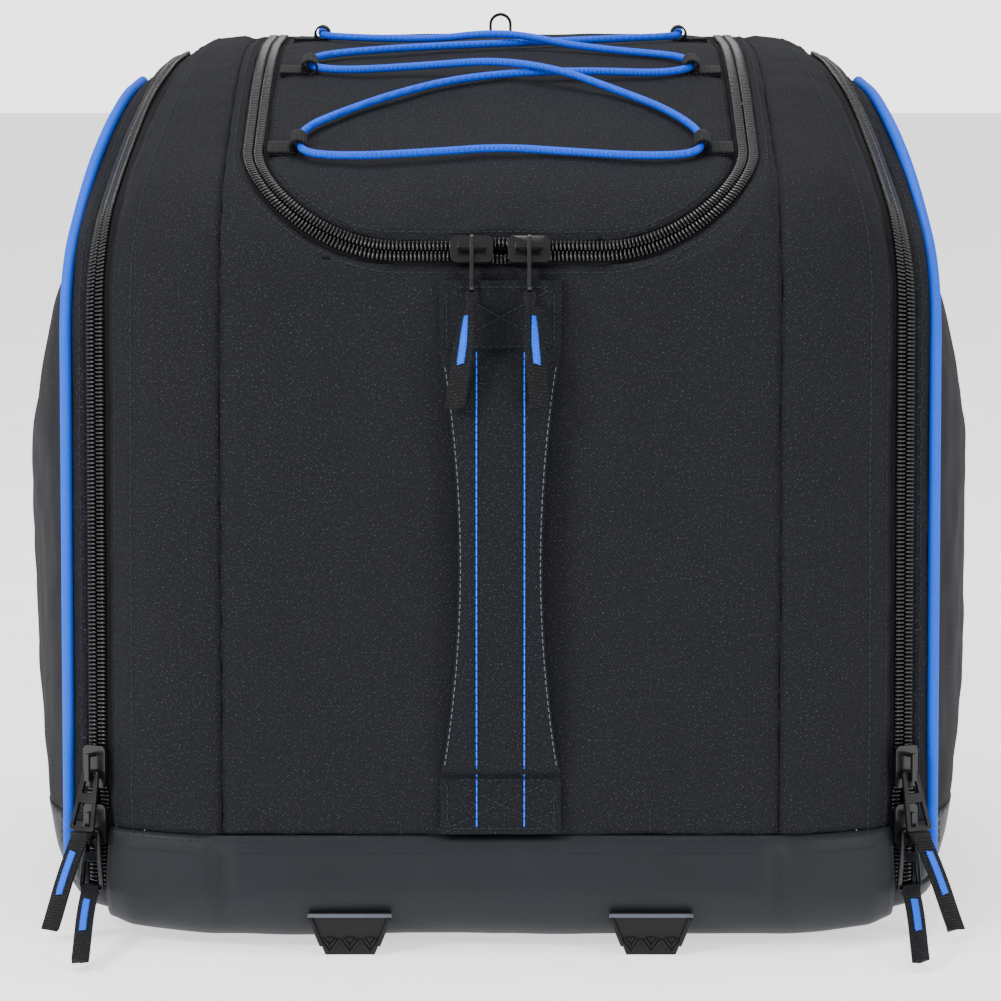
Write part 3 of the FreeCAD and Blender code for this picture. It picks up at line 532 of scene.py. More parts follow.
def bead(length: float, width: float, height: float, sides: int = 6) -> tuple[Array, list[tuple[int, ...]]]:
    """A small capsule lying along X, as points and faces to be repeated.

    Args:
        length: Size along X.
        width: Size along Y.
        height: Size along Z.
        sides: Faces round it.

    Returns:
        Its points and its faces.
    """
    bm = bmesh.new()
    turn = Matrix.Rotation(math.pi / 2, 4, "Y")
    bmesh.ops.create_cone(
        bm, cap_ends=True, segments=sides, radius1=0.34, radius2=0.34, depth=1.0, matrix=turn
    )
    middle = [e for e in bm.edges if abs(e.verts[0].co.x - e.verts[1].co.x) > 0.5]
    bmesh.ops.subdivide_edges(bm, edges=middle, cuts=2)
    for vert in bm.verts:
        if abs(vert.co.x) < 0.4:
            vert.co.y *= 0.5 / 0.34
            vert.co.z *= 0.5 / 0.34
            vert.co.x *= 1.9
    bmesh.ops.recalc_face_normals(bm, faces=bm.faces[:])
    bmesh.ops.scale(bm, vec=(length, width, height), verts=bm.verts[:])
    bm.verts.ensure_lookup_table()
    points = np.array([v.co[:] for v in bm.verts])
    faces = [tuple(v.index for v in f.verts) for f in bm.faces]
    bm.free()
    return points, faces


def repeat_along(
    name: str,
    kernel: tuple[Array, list[tuple[int, ...]]],
    frames: Sequence[tuple[Array, Array, Array, Array]],
    material: bpy.types.Material,
) -> bpy.types.Object:
    """Repeats a small shape at many frames as one piece.

    Args:
        name: The piece's name.
        kernel: Points and faces of the shape.
        frames: Arrays of origins, X axes, Y axes and Z axes, one row per copy, in millimetres.
        material: The piece's material.

    Returns:
        The new object.
    """
    points, faces = kernel
    chunks, counts = [], 0
    all_faces = []
    for origin, x_axis, y_axis, z_axis in frames:
        copies = (
            origin[:, None, :]
            + x_axis[:, None, :] * points[None, :, 0:1]
            + y_axis[:, None, :] * points[None, :, 1:2]
            + z_axis[:, None, :] * points[None, :, 2:3]
        )
        for k in range(len(origin)):
            shift = counts + k * len(points)
            all_faces.extend(tuple(i + shift for i in face) for face in faces)
        counts += len(origin) * len(points)
        chunks.append(copies.reshape(-1, 3))
    mesh = bpy.data.meshes.new(name)
    mesh.from_pydata((np.concatenate(chunks) * MM).tolist(), [], all_faces)
    mesh.materials.append(material)
    obj = bpy.data.objects.new(name, mesh)
    bpy.context.scene.collection.objects.link(obj)
    for polygon in mesh.polygons:
        polygon.use_smooth = True
    return obj


def stitch_frames(track: Track, pitch: float, out: float, start: float = 2.0, end: float = 2.0) -> tuple:
    """Frames of stitches along a line, a little apart and lying on the cloth.

    Args:
        track: The line the seam follows.
        pitch: Distance from stitch to stitch.
        out: Height of a stitch's middle above the line.
        start: Length left bare at the beginning.
        end: Length left bare at the end.

    Returns:
        Origins, X, Y and Z axes.
    """
    count = max(1, int((track.length - start - end) / pitch))
    stations = start + (np.arange(count) + 0.5) * pitch
    place, along, normal = track.at(stations)
    return place + normal * out, along, np.cross(normal, along), normal


def settle(track: Track, cloth: bpy.types.Object) -> Track:
    """The same line laid down on a piece of cloth, so that a seam follows its folds.

    Args:
        track: The line.
        cloth: The piece, still without its modifiers' wall.

    Returns:
        The line on the cloth; points beside the cloth stay where they were.
    """
    tree = BVHTree.FromPolygons([v.co for v in cloth.data.vertices], [p.vertices[:] for p in cloth.data.polygons])
    points = track.points.copy()
    for i, (point, normal) in enumerate(zip(track.points, track.normals)):
        outward = Vector(normal)
        hit = tree.ray_cast((Vector(point) + outward * 14) * MM, -outward, 0.028)[0]
        if hit is not None:
            points[i] = np.array(hit) / MM
    return Track(points, track.normals)


def add_band(
    bm: bmesh.types.BMesh, line: Callable[[float], Track], edges: Sequence[tuple[float, float]], step: float
) -> list:
    """Adds a strip that follows a line, its columns at given offsets and lifts.

    Args:
        bm: The mesh to add to.
        line: Gives the track at an offset from the line.
        edges: Offset and lift of each column.
        step: Spacing of the rows in millimetres.

    Returns:
        The new vertices.
    """
    tracks = [line(offset) for offset, _ in edges]
    longest = max(track.length for track in tracks)
    rows = max(2, int(longest / step))
    last = len(edges) - 1

    def mapping(u: Array, v: Array) -> tuple[Array, Array]:
        column = np.rint(u * last).astype(int)
        places = np.zeros((len(u), 3))
        for k, (_, lift) in enumerate(edges):
            chosen = column == k
            place, _, normal = tracks[k].at(v[chosen] * tracks[k].length)
            places[chosen] = place + normal * lift
        across = np.array([offset for offset, _ in edges])[column]
        return places, np.column_stack([across, v * longest])

    return add_patch(bm, last, rows, mapping)


def straight_track(start: Sequence[float], end: Sequence[float], normal: Sequence[float], count: int = 24) -> Track:
    """A straight line in space with one normal."""
    share = np.linspace(0, 1, count)[:, None]
    points = np.array(start, float) * (1 - share) + np.array(end, float) * share
    return Track(points, np.tile(np.array(normal, float), (count, 1)))


# ----------------------------------------------------------------------------------------------
# Finishes
# ----------------------------------------------------------------------------------------------
def tint(code: str) -> tuple[float, float, float, float]:
    """Linear colour of an sRGB hex code."""
    parts = [int(code[i : i + 2], 16) / 255 for i in (1, 3, 5)]
    return tuple(c / 12.92 if c <= 0.04045 else ((c + 0.055) / 1.055) ** 2.4 for c in parts) + (1.0,)


def add_node(
    tree: bpy.types.NodeTree, kind: str, settings: dict | None = None, links: dict | None = None
) -> bpy.types.Node:
    """Adds a node with its settings and links.

    Args:
        tree: The node tree.
        kind: The node's type.
        settings: Attributes, or default values of inputs by name or number.
        links: Output sockets by the input they feed.

    Returns:
        The node.
    """
    node = tree.nodes.new(kind)
    for key, value in (settings or {}).items():
        if isinstance(key, str) and hasattr(node, key):
            setattr(node, key, value)
        else:
            node.inputs[key].default_value = value
    for key, socket in (links or {}).items():
        tree.links.new(socket, node.inputs[key])
    return node


def stripe_scale(pitch: float) -> float:
    """Wave texture scale that repeats every pitch millimetres."""
    return 2 * math.pi / (20 * pitch * MM)


class Follow(Enum):
    """What a finish's pattern follows."""

    CLOTH = "cloth"
    SPACE = "space"


@dataclass(frozen=True)
class Finish:
    """A material with its colour and gloss; subclasses add the pattern."""

    name: str
    colour: str
    roughness: float = 0.7
    follow: Follow = Follow.SPACE
    gloss: float = 0.5

    def build(self) -> bpy.types.Material:
        """Makes the material."""
        material = bpy.data.materials.new(self.name)
        material.use_nodes = True
        tree = material.node_tree
        tree.nodes.clear()
        surface = {"Roughness": self.roughness, "Specular IOR Level": self.gloss}
        shader = add_node(tree, "ShaderNodeBsdfPrincipled", surface)
        add_node(tree, "ShaderNodeOutputMaterial", links={"Surface": shader.outputs["BSDF"]})
        if self.follow is Follow.CLOTH:
            place = add_node(tree, "ShaderNodeUVMap", {"uv_map": "cloth"}).outputs["UV"]
        else:
            place = add_node(tree, "ShaderNodeTexCoord").outputs["Object"]
        self.dress(tree, shader, place)
        return material

    def dress(self, tree: bpy.types.NodeTree, shader: bpy.types.Node, place: bpy.types.NodeSocket) -> None:
        """Adds the pattern; the plain finish has slow colour variation and a fine grain."""
        grain = add_node(tree, "ShaderNodeTexNoise", {"Scale": 900.0, "Detail": 3.0}, {"Vector": place})
        self.colour_by(tree, shader, grain.outputs["Fac"], 0.8, 1.15)
        self.bump_by(tree, shader, grain.outputs["Fac"], 0.06)

    def colour_by(
        self,
        tree: bpy.types.NodeTree,
        shader: bpy.types.Node,
        value: bpy.types.NodeSocket,
        low: float,
        high: float,
    ) -> None:
        """Varies the base colour's brightness with a value between low and high."""
        base = tint(self.colour)
        dark = tuple(c * low for c in base[:3]) + (1.0,)
        light = tuple(min(c * high, 1.0) for c in base[:3]) + (1.0,)
        mix = add_node(tree, "ShaderNodeMix", {"data_type": "RGBA", 6: dark, 7: light}, {0: value})
        tree.links.new(mix.outputs[2], shader.inputs["Base Color"])

    def bump_by(
        self, tree: bpy.types.NodeTree, shader: bpy.types.Node, value: bpy.types.NodeSocket, depth: float
    ) -> None:
        """Raises the surface by depth millimetres with a value."""
        bump = add_node(tree, "ShaderNodeBump", {"Strength": 0.8, "Distance": depth * MM}, {"Height": value})
        tree.links.new(bump.outputs["Normal"], shader.inputs["Normal"])


@dataclass(frozen=True)
class Weave(Finish):
    """Woven cloth: ribs at an angle, cut by cross yarns, with lighter specks painted in as highlights where filaments
    glint.
    """

    pitch: float = 1.1
    angle: float = 45.0
    cross_pitch: float = 1.1
    cross_angle: float = -45.0
    cross_share: float = 0.35
    # Colour and strength of the painted highlights: lighter specks that stand in for light glinting off the filaments.
    painted_glint: str = "#6c6d75"
    painted_glint_share: float = 0.4
    depth: float = 0.12
    low: float = 0.55
    sheen: float = 0.05

    def dress(self, tree: bpy.types.NodeTree, shader: bpy.types.Node, place: bpy.types.NodeSocket) -> None:
        """Adds ribs, cross yarns, painted glint highlights and a slow change of tone."""
        shader.inputs["Sheen Weight"].default_value = self.sheen
        shader.inputs["Sheen Roughness"].default_value = 0.4
        waves = []
        for pitch, angle in ((self.pitch, self.angle), (self.cross_pitch, self.cross_angle)):
            turn = add_node(tree, "ShaderNodeMapping", {"Rotation": (0, 0, math.radians(angle))}, {"Vector": place})
            wave = add_node(
                tree,
                "ShaderNodeTexWave",
                {"Scale": stripe_scale(pitch), "Distortion": 0.5, "Detail": 1.0, "Detail Scale": 1.5},
                {"Vector": turn.outputs["Vector"]},
            )
            waves.append(wave.outputs["Fac"])
        ribs = add_node(
            tree,
            "ShaderNodeMix",
            {"data_type": "FLOAT", "Factor": self.cross_share},
            {2: waves[0], 3: waves[1]},
        ).outputs[0]
        broad = add_node(tree, "ShaderNodeTexNoise", {"Scale": 26.0, "Detail": 4.0}, {"Vector": place})
        tone = add_node(
            tree, "ShaderNodeMath", {"operation": "MULTIPLY_ADD", 1: 0.8, 2: 0.0}, {0: ribs}
        )
        tone = add_node(
            tree,
            "ShaderNodeMath",
            {"operation": "MULTIPLY_ADD", 1: 0.35},
            {0: broad.outputs["Fac"], 2: tone.outputs[0]},
        )
        base = tint(self.colour)
        dark = tuple(c * self.low for c in base[:3]) + (1.0,)
        cloth = add_node(tree, "ShaderNodeMix", {"data_type": "RGBA", 6: dark, 7: base}, {0: tone.outputs[0]})
        # Painted highlights: fine noise picks specks on the rib tops and mixes them towards the glint colour.
        fine = {"Scale": 1100.0, "Detail": 2.0, "Roughness": 0.7}
        glint = add_node(tree, "ShaderNodeTexNoise", fine, {"Vector": place})
        picked = add_node(
            tree,
            "ShaderNodeMapRange",
            {"From Min": 0.55, "From Max": 0.75, "To Max": self.painted_glint_share},
            {"Value": glint.outputs["Fac"]},
        )
        on_rib = add_node(tree, "ShaderNodeMath", {"operation": "MULTIPLY"}, {0: picked.outputs[0], 1: ribs})
        final = add_node(
            tree,
            "ShaderNodeMix",
            {"data_type": "RGBA", 7: tint(self.painted_glint)},
            {0: on_rib.outputs[0], 6: cloth.outputs[2]},
        )
        tree.links.new(final.outputs[2], shader.inputs["Base Color"])
        self.bump_by(tree, shader, ribs, self.depth)


@dataclass(frozen=True)
class Coated(Finish):
    """Coated vinyl: a shallow leather grain under a satin film, rubbed a little unevenly."""

    grain: float = 1.6
    depth: float = 0.05
    coat: float = 0.03

    def dress(self, tree: bpy.types.NodeTree, shader: bpy.types.Node, place: bpy.types.NodeSocket) -> None:
        """Adds the pebble grain, its gloss variation and a slow tone change."""
        shader.inputs["Coat Weight"].default_value = self.coat
        shader.inputs["Coat Roughness"].default_value = 0.45
        cells = add_node(tree, "ShaderNodeTexVoronoi", {"Scale": 1 / (self.grain * MM)}, {"Vector": place})
        broad = add_node(tree, "ShaderNodeTexNoise", {"Scale": 22.0, "Detail": 5.0}, {"Vector": place})
        self.colour_by(tree, shader, broad.outputs["Fac"], 0.78, 1.22)
        gloss = add_node(
            tree,
            "ShaderNodeMapRange",
            {"To Min": self.roughness - 0.08, "To Max": self.roughness + 0.1},
            {"Value": broad.outputs["Fac"]},
        )
        tree.links.new(gloss.outputs[0], shader.inputs["Roughness"])
        self.bump_by(tree, shader, cells.outputs["Distance"], self.depth)


@dataclass(frozen=True)
class Lacquered(Finish):
    """Die-cast zinc under black lacquer: glossy, with faint orange peel and dulled patches."""

    coat: float = 0.7

    def dress(self, tree: bpy.types.NodeTree, shader: bpy.types.Node, place: bpy.types.NodeSocket) -> None:
        """Adds orange peel, uneven gloss and a little tone."""
        shader.inputs["Coat Weight"].default_value = self.coat
        shader.inputs["Coat Roughness"].default_value = 0.12
        peel = add_node(tree, "ShaderNodeTexNoise", {"Scale": 420.0, "Detail": 2.0}, {"Vector": place})
        dull = add_node(tree, "ShaderNodeTexNoise", {"Scale": 160.0, "Detail": 5.0}, {"Vector": place})
        self.colour_by(tree, shader, dull.outputs["Fac"], 0.7, 1.6)
        gloss = add_node(
            tree,
            "ShaderNodeMapRange",
            {"To Min": max(self.roughness - 0.1, 0.08), "To Max": self.roughness + 0.2},
            {"Value": dull.outputs["Fac"]},
        )
        tree.links.new(gloss.outputs[0], shader.inputs["Roughness"])
        self.bump_by(tree, shader, peel.outputs["Fac"], 0.03)


class Cloth(Enum):
    """Every finish on the bag, by the record's material slot or by its use."""

    # 600-denier polyester twill: matt, near-black navy, with painted glint highlights on its diagonal ribs;
    # ribs drawn a little coarser than the real 0.9 mm so that they show.
    BODY = Weave("polyester_twill", "#15161b", 0.8, Follow.CLOTH, 0.15, sheen=0.0)
    # The same yarns in a denser cross weave.
    HANDLE = Weave(
        "handle_oxford", "#11131a", 0.75, Follow.CLOTH, 0.15, pitch=1.0, cross_share=0.5,
        low=0.35, depth=0.18, sheen=0.0,
    )
    # Coated vinyl, moulded grain, satin.
    BASE = Coated("coated_vinyl", "#16191e", 0.52, gloss=0.22)
    # Bright woven piping tape around a cord.
    PIPING = Weave(
        "piping_tape", "#0055e0", 0.55, Follow.CLOTH, 0.2, pitch=0.9, cross_pitch=0.9, low=0.72,
        painted_glint="#5aa8ff", painted_glint_share=0.3, depth=0.1, sheen=0.0,
    )
    # Braided polyester sleeve over elastic.
    BUNGEE = Weave(
        "bungee_braid", "#004fe0", 0.5, gloss=0.2, pitch=1.3, cross_pitch=1.3, low=0.6,
        painted_glint="#5aa8ff", painted_glint_share=0.3, depth=0.15, sheen=0.0,
    )
    # Ribbed polyester webbing, ribs across its length.
    WEBBING = Weave(
        "ribbed_webbing", "#0d0e11", 0.65, Follow.CLOTH, 0.15, pitch=1.25, angle=90.0, cross_pitch=0.7,
        cross_angle=0.0, cross_share=0.2, low=0.25, painted_glint="#6a6d74", depth=0.35,
    )
    # Zipper tape: fine plain weave.
    TAPE = Weave(
        "zipper_tape", "#090a0d", 0.75, Follow.CLOTH, 0.12, pitch=0.8, angle=90.0, cross_pitch=0.8,
        cross_angle=0.0, low=0.5, painted_glint="#3c3e44", depth=0.08,
    )
    # Polyester monofilament coil: hard gloss.
    COIL = Lacquered("coil_monofilament", "#060607", 0.22, gloss=0.4, coat=0.2)
    # Black lacquered zinc.
    METAL = Lacquered("black_lacquered_zinc", "#08090a", 0.26, gloss=0.35, coat=0.25)
    # Moulded black rubber.
    RUBBER = Coated("moulded_rubber", "#0d0e10", 0.6, gloss=0.25, grain=0.9, coat=0.0)
    # The top edge of the rubber feet: a light line painted in as the edge's highlight.
    EDGE_HIGHLIGHT = Coated("rubber_edge_painted_highlight", "#50555c", 0.6, gloss=0.2, grain=0.9, coat=0.0)
    # Warp-knit spacer mesh over foam.
    MESH = Weave(
        "spacer_mesh", "#181a1f", 0.8, Follow.CLOTH, pitch=3.2, cross_pitch=3.2, low=0.2,
        painted_glint="#4a4d55", depth=0.7, sheen=0.1,
    )
    # Thin coated lining.
    LINING = Weave(
        "lining_taffeta", "#3a3c42", 0.6, Follow.CLOTH, pitch=0.8, angle=90.0, cross_angle=0.0,
        low=0.75, depth=0.04,
    )
    THREAD_DARK = Finish("dark_thread", "#22252b", 0.6, gloss=0.2)
    THREAD_BLUE = Finish("blue_thread", "#0560f0", 0.5, gloss=0.2)
    THREAD_PALE = Finish("pale_thread", "#595d66", 0.6, gloss=0.2)
    # Injection-moulded acetal and polyethylene.
    PLASTIC = Lacquered("moulded_acetal", "#1b1c1e", 0.4, coat=0.0)
    BOARD = Lacquered("polyethylene_board", "#2a2b2e", 0.45, coat=0.0)


# ----------------------------------------------------------------------------------------------
# The workshop: dresses pieces and fastens them to the frame
# ----------------------------------------------------------------------------------------------
class Workshop:
    """Holds the frame and the finishes, and fits each piece to its body."""

    def __init__(self, frame: dict) -> None:
        """Keeps the frame and builds every finish once."""
        self.frame = frame
        self.materials = {cloth: cloth.value.build() for cloth in Cloth}
        self.joints = {joint["name"]: joint for joint in frame["joints"]}

    def fit(self, obj: bpy.types.Object, body: str, slot: str, *nodes: str) -> bpy.types.Object:
        """Fastens a piece to a body and hides the CAD nodes that it stands for."""
        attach(obj, body)
        if nodes:
            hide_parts(*nodes)
        LOG.info("%s rides on %s", obj.name, body)
        return obj

    def dress_node(self, name: str, cloth: Cloth, bevel: float = 0.0) -> None:
        """Gives a CAD node its finish, and rounds its edges."""
        obj = self.frame["nodes"][name]
        obj.data.materials.clear()
        obj.data.materials.append(self.materials[cloth])
        if bevel:
            weld = obj.modifiers.new("weld", "WELD")
            weld.merge_threshold = 0.00002
            edge = obj.modifiers.new("edges", "BEVEL")
            edge.width = bevel * MM
            edge.segments = 2
            edge.limit_method = "ANGLE"
            edge.angle_limit = math.radians(40)
            edge.harden_normals = False
        LOG.info("%s keeps its CAD shape", name)

    def stitches(
        self,
        name: str,
        tracks: Iterable[Track],
        cloth: Cloth,
        body: str,
        slot: str,
        size: tuple[float, float, float, float],
        onto: bpy.types.Object | None = None,
    ) -> None:
        """Sews rows of stitches as one piece.

        Args:
            name: The piece's name.
            tracks: Lines that the rows follow.
            cloth: The thread.
            body: The body it rides on.
            slot: The record's slot; not used.
            size: Pitch, length, width and height of a stitch.
            onto: The cloth that the rows are laid down on, if its folds matter.
        """
        pitch, length, width, height = size
        if onto is not None:
            tracks = [settle(track, onto) for track in tracks]
        frames = [stitch_frames(track, pitch, height * 0.25) for track in tracks]
        obj = repeat_along(name, bead(length, width, height, 5), frames, self.materials[cloth])
        self.fit(obj, body, slot)


def drape(reach: Array, lap: Array, edge: Array, swell: float, wrinkle: float, seed: float) -> Array:
    """Lays cloth on the shell's surface, pinched at its seams and a little wavy between them.

    Args:
        reach: Reaches of the points.
        lap: Laps of the points.
        edge: Distance of each point to the nearest seam.
        swell: How far the middle stands proud.
        wrinkle: Size of the waves.
        seed: Makes panels differ.

    Returns:
        Positions in millimetres.
    """
    places, normals = SHAPE.points(reach, lap), SHAPE.normals(reach, lap)
    free = smooth_step(edge, 0, 26)
    waves = 0.8 * crumple(places * np.array([1, 1, 0.5]), 52, seed) + 0.25 * crumple(places, 17, seed + 7)
    gathers = crumple(places, 9, seed + 3) * np.exp(-np.maximum(edge, 0) / 13)
    lift = swell * free - 1.3 * (1 - smooth_step(edge, 0, 5)) + wrinkle * waves * (0.25 + 0.75 * free) + 0.7 * gathers
    return places + normals * lift[:, None]


SewnLine = Callable[[float], Track]


def side_line(side: int) -> SewnLine:
    """The side zipper's line, front to back over the top, at an offset towards the door."""
    low = float(SHAPE.lap_front(SHAPE.zip_end_z, 165)[0])
    high = float(SHAPE.lap_back(SHAPE.zip_end_z, 165)[0])
    laps = np.linspace(low, high, 520)

    def line(offset: float) -> Track:
        return surface_track(side * SHAPE.chain_reach(laps, offset), laps)

    return line


def lid_line(offset: float) -> Track:
    """The lid zipper's line, from the back left round the front to the back right, at an outward offset."""
    half, corner = SHAPE.lid_half + offset, SHAPE.lid_corner + offset
    legs = np.linspace(SHAPE.climb_end, SHAPE.lid_corner, 70)
    turn = np.linspace(0, math.pi / 2, 50)[1:]
    arc_reach = half - corner + corner * np.cos(turn)
    arc_climb = SHAPE.lid_corner - corner * np.sin(turn)
    front = np.linspace(half - corner, -(half - corner), 40)[1:-1]
    reach = np.concatenate([np.full(70, half), arc_reach, front])
    climb = np.concatenate([legs, arc_climb, np.full(38, -offset)])
    reach = -np.concatenate([reach, -arc_reach[::-1], np.full(70, -half)])
    climb = np.concatenate([climb, arc_climb[::-1], legs[::-1]])
    return surface_track(reach, SHAPE.lap_of_climb(climb))


def level_track(z: float, low: float, high: float) -> Track:
    """A level line across the front from reach low to reach high."""
    reach = np.linspace(low, high, 80)
    laps = np.concatenate([SHAPE.lap_front(z, r) for r in np.abs(reach)])
    return surface_track(reach, laps)


# ----------------------------------------------------------------------------------------------
# Panels
# ----------------------------------------------------------------------------------------------
@dataclass
class Panels:
    """The sewn shell: front, gussets, back, lid, doors and the vinyl base."""

    shop: Workshop
    fabric_edge: float = 5.0
    wall: float = 2.6
    cell: float = 2.6
    made: dict[str, bpy.types.Object] = field(default_factory=dict)

    def build(self) -> None:
        """Sews every panel."""
        self.front()
        self.lid()
        self.back()
        self.base()
        for side in (LEFT, RIGHT):
            self.gusset(side)
            self.door(side, "door", SHAPE.band_z + 0.3, 400.0, Cloth.BODY, "body_twill")
            self.door(side, "door_band", SHAPE.zip_end_z, SHAPE.band_z, Cloth.BASE, "base_vinyl")
            self.piping(side)
        self.seams()

    def finish(self, bm: bmesh.types.BMesh, name: str, cloth: Cloth, body: str, slot: str) -> bpy.types.Object:
        """Closes a panel's mesh, gives it its wall and fits it."""
        bmesh.ops.remove_doubles(bm, verts=bm.verts[:], dist=0.25)
        obj = finish_mesh(bm, name, self.shop.materials[cloth], outward=Vector((0, 10, 180)))
        thicken(obj, self.wall)
        self.made[name] = obj
        return self.shop.fit(obj, body, slot, name)

    def front(self) -> None:
        """The front panel with its wings beside the lid."""
        bm = bmesh.new()
        seam, flat = SHAPE.seam_half, SHAPE.lid_half - SHAPE.lid_corner
        low = float(SHAPE.lap_front(SHAPE.band_z + 0.3)[0])
        high = float(SHAPE.lap_of_climb(-self.fabric_edge))
        rows = int((high - low) / self.cell)

        for start, end in ((-seam, -flat), (-flat, flat), (flat, seam)):

            def lower(u: Array, v: Array, start: float = start, end: float = end) -> tuple[Array, Array]:
                reach, lap = start + (end - start) * u, low + (high - low) * v
                top = np.hypot(np.maximum(np.abs(reach) - flat, 0), high - lap)
                edge = np.minimum(np.minimum(seam - np.abs(reach), top), (lap - low) + 3)
                return drape(reach, lap, edge, 1.6, 2.6, 3.0), np.column_stack([reach, lap])

            add_patch(bm, int((end - start) / self.cell), rows, lower)
        for side in (LEFT, RIGHT):

            def wing(u: Array, v: Array, side: int = side) -> tuple[Array, Array]:
                span = SHAPE.climb_end + self.fabric_edge
                climb = -self.fabric_edge + span * (1 - np.cos(v * math.pi / 2))
                inner = SHAPE.lid_half_at(climb, self.fabric_edge)
                reach = side * (inner + (seam - inner) * (u if side > 0 else 1 - u))
                lap = SHAPE.lap_of_climb(climb)
                edge = np.minimum(seam - np.abs(reach), np.abs(reach) - inner)
                return drape(reach, lap, edge, 1.6, 2.6, 3.0), np.column_stack([reach, lap])

            add_patch(bm, int((seam - flat) / self.cell), 90, wing)
        self.finish(bm, "front_panel", Cloth.BODY, "shell", "body_twill")

    def lid(self) -> None:
        """The top lid, with a pucker above its sliders."""
        bm = bmesh.new()

        def mapping(u: Array, v: Array) -> tuple[Array, Array]:
            span = SHAPE.climb_end - self.fabric_edge
            climb = self.fabric_edge + span * (1 - np.cos(v * math.pi / 2))
            half = SHAPE.lid_half_at(climb, -self.fabric_edge)
            reach, lap = (2 * u - 1) * half, SHAPE.lap_of_climb(climb)
            edge = np.minimum(half - np.abs(reach), climb - self.fabric_edge)
            places = drape(reach, lap, edge, 0.8, 1.6, 11.0)
            gather = np.exp(-((reach / 42) ** 2)) * smooth_step(climb, 5, 12) * (1 - smooth_step(climb, 20, 42))
            ripple = np.cos(reach / 6.5) * 0.9 - 0.5
            return places + SHAPE.normals(reach, lap) * (gather * ripple)[:, None], np.column_stack([reach, lap])

        add_patch(bm, 76, 96, mapping)
        self.finish(bm, "top_lid", Cloth.BODY, "lid", "body_twill")

    def back(self) -> None:
        """The back panel from the lid's hinge seam down to the vinyl."""
        bm = bmesh.new()
        low, high = SHAPE.lap_lid_back + 0.3, float(SHAPE.lap_back(SHAPE.band_z + 0.3)[0])

        def mapping(u: Array, v: Array) -> tuple[Array, Array]:
            reach, lap = (2 * u - 1) * SHAPE.seam_half, low + (high - low) * v
            edge = np.minimum(SHAPE.seam_half - np.abs(reach), np.minimum(lap - low, high - lap + 3))
            return drape(reach, lap, edge, 0.0, 0.8, 19.0), np.column_stack([reach, lap])

        add_patch(bm, 64, 94, mapping)
        self.finish(bm, "back_panel", Cloth.BODY, "shell", "body_twill")

    def _between(
        self, v: Array, u: Array, first: Callable, last: Callable, side: int, inner: float
    ) -> tuple[Array, Array]:
        """Reach and lap of a strip from an inner reach to the side zipper's fabric edge."""
        lap = first(np.full(u.shape, 140.0)) * (1 - v) + last(np.full(u.shape, 140.0)) * v
        reach = np.zeros(u.shape)
        for _ in range(2):
            outer = SHAPE.chain_reach(lap, -self.fabric_edge)
            reach = inner + (outer - inner) * u
            lap = first(reach) * (1 - v) + last(reach) * v
        return side * reach, lap

    def gusset(self, side: int) -> None:
        """The strip between the middle panels and the side zipper, front over the top to the back."""
        bm = bmesh.new()
        z = SHAPE.band_z + 0.3

        def mapping(u: Array, v: Array) -> tuple[Array, Array]:
            across = u if side > 0 else 1 - u
            reach, lap = self._between(
                v, across, lambda r: SHAPE.lap_front(z, r), lambda r: SHAPE.lap_back(z, r), side, SHAPE.seam_half
            )
            edge = np.minimum(np.abs(reach) - SHAPE.seam_half, (1 - across) * 50)
            low = SHAPE.points(reach, lap)[:, 2] - z
            edge = np.minimum(edge, low + 3)
            return drape(reach, lap, edge, 1.8, 3.0, 29.0 + side), np.column_stack([reach, lap])

        add_patch(bm, 18, 250, mapping)
        name = SIDE_NAMES[side]
        self.finish(bm, f"{name}_gusset", Cloth.BODY, "shell", "body_twill")

    def base(self) -> None:
        """The vinyl base: a tray between the side zippers, and the edge under each door."""
        bm = bmesh.new()
        z = SHAPE.band_z

        def tray(u: Array, v: Array, side: int) -> tuple[Array, Array]:
            reach, lap = self._between(
                v,
                u if side > 0 else 1 - u,
                lambda r: SHAPE.lap_back(z, r) - SHAPE.lap_length,
                lambda r: SHAPE.lap_front(z, r),
                side,
                0.0,
            )
            height = SHAPE.points(reach, lap)[:, 2]
            notch = np.exp(-(((np.abs(reach) - SHAPE.seam_half) / 3.2) ** 2)) * smooth_step(height, 12, 26)
            notch *= 1 - smooth_step(height, 40, 46)
            places = drape(reach, lap, np.maximum(z - height, 0), 1.6, 0.9, 41.0)
            lift = 1.1 - 3.2 * notch
            return places + SHAPE.normals(reach, lap) * lift[:, None], np.column_stack([reach, lap])

        for side in (LEFT, RIGHT):
            add_patch(bm, 60, 120, lambda u, v, s=side: tray(u, v, s))
        for side in (LEFT, RIGHT):
            skirt = self._dome(side, -self.fabric_edge, 61.0, 0.4)
            bmesh.ops.bisect_plane(
                skirt, geom=skirt.verts[:] + skirt.edges[:] + skirt.faces[:], dist=0.001,
                plane_co=(0, 0, SHAPE.zip_end_z - 0.4), plane_no=(0, 0, 1), clear_outer=True,
            )
            holder = bpy.data.meshes.new("skirt")
            skirt.to_mesh(holder)
            skirt.free()
            bm.from_mesh(holder)
            bpy.data.meshes.remove(holder)
        self.finish(bm, "vinyl_base", Cloth.BASE, "shell", "base_vinyl")

    def _dome(self, side: int, offset: float, seed: float, swell: float) -> bmesh.types.BMesh:
        """The outer face of one side, closed round its whole ring."""
        bm = bmesh.new()

        def mapping(u: Array, v: Array) -> tuple[Array, Array]:
            lap = v * SHAPE.lap_length
            outer = SHAPE.chain_reach(lap, offset)
            reach = side * (outer + (SHAPE.end_reach - outer) * (u if side > 0 else 1 - u))
            edge = np.abs(reach) - outer
            places = drape(reach, lap, edge, swell, 3.2, seed + side)
            return places, places[:, 1:]

        made = add_patch(bm, 46, 250, mapping)
        bmesh.ops.remove_doubles(bm, verts=made, dist=0.6)
        return bm

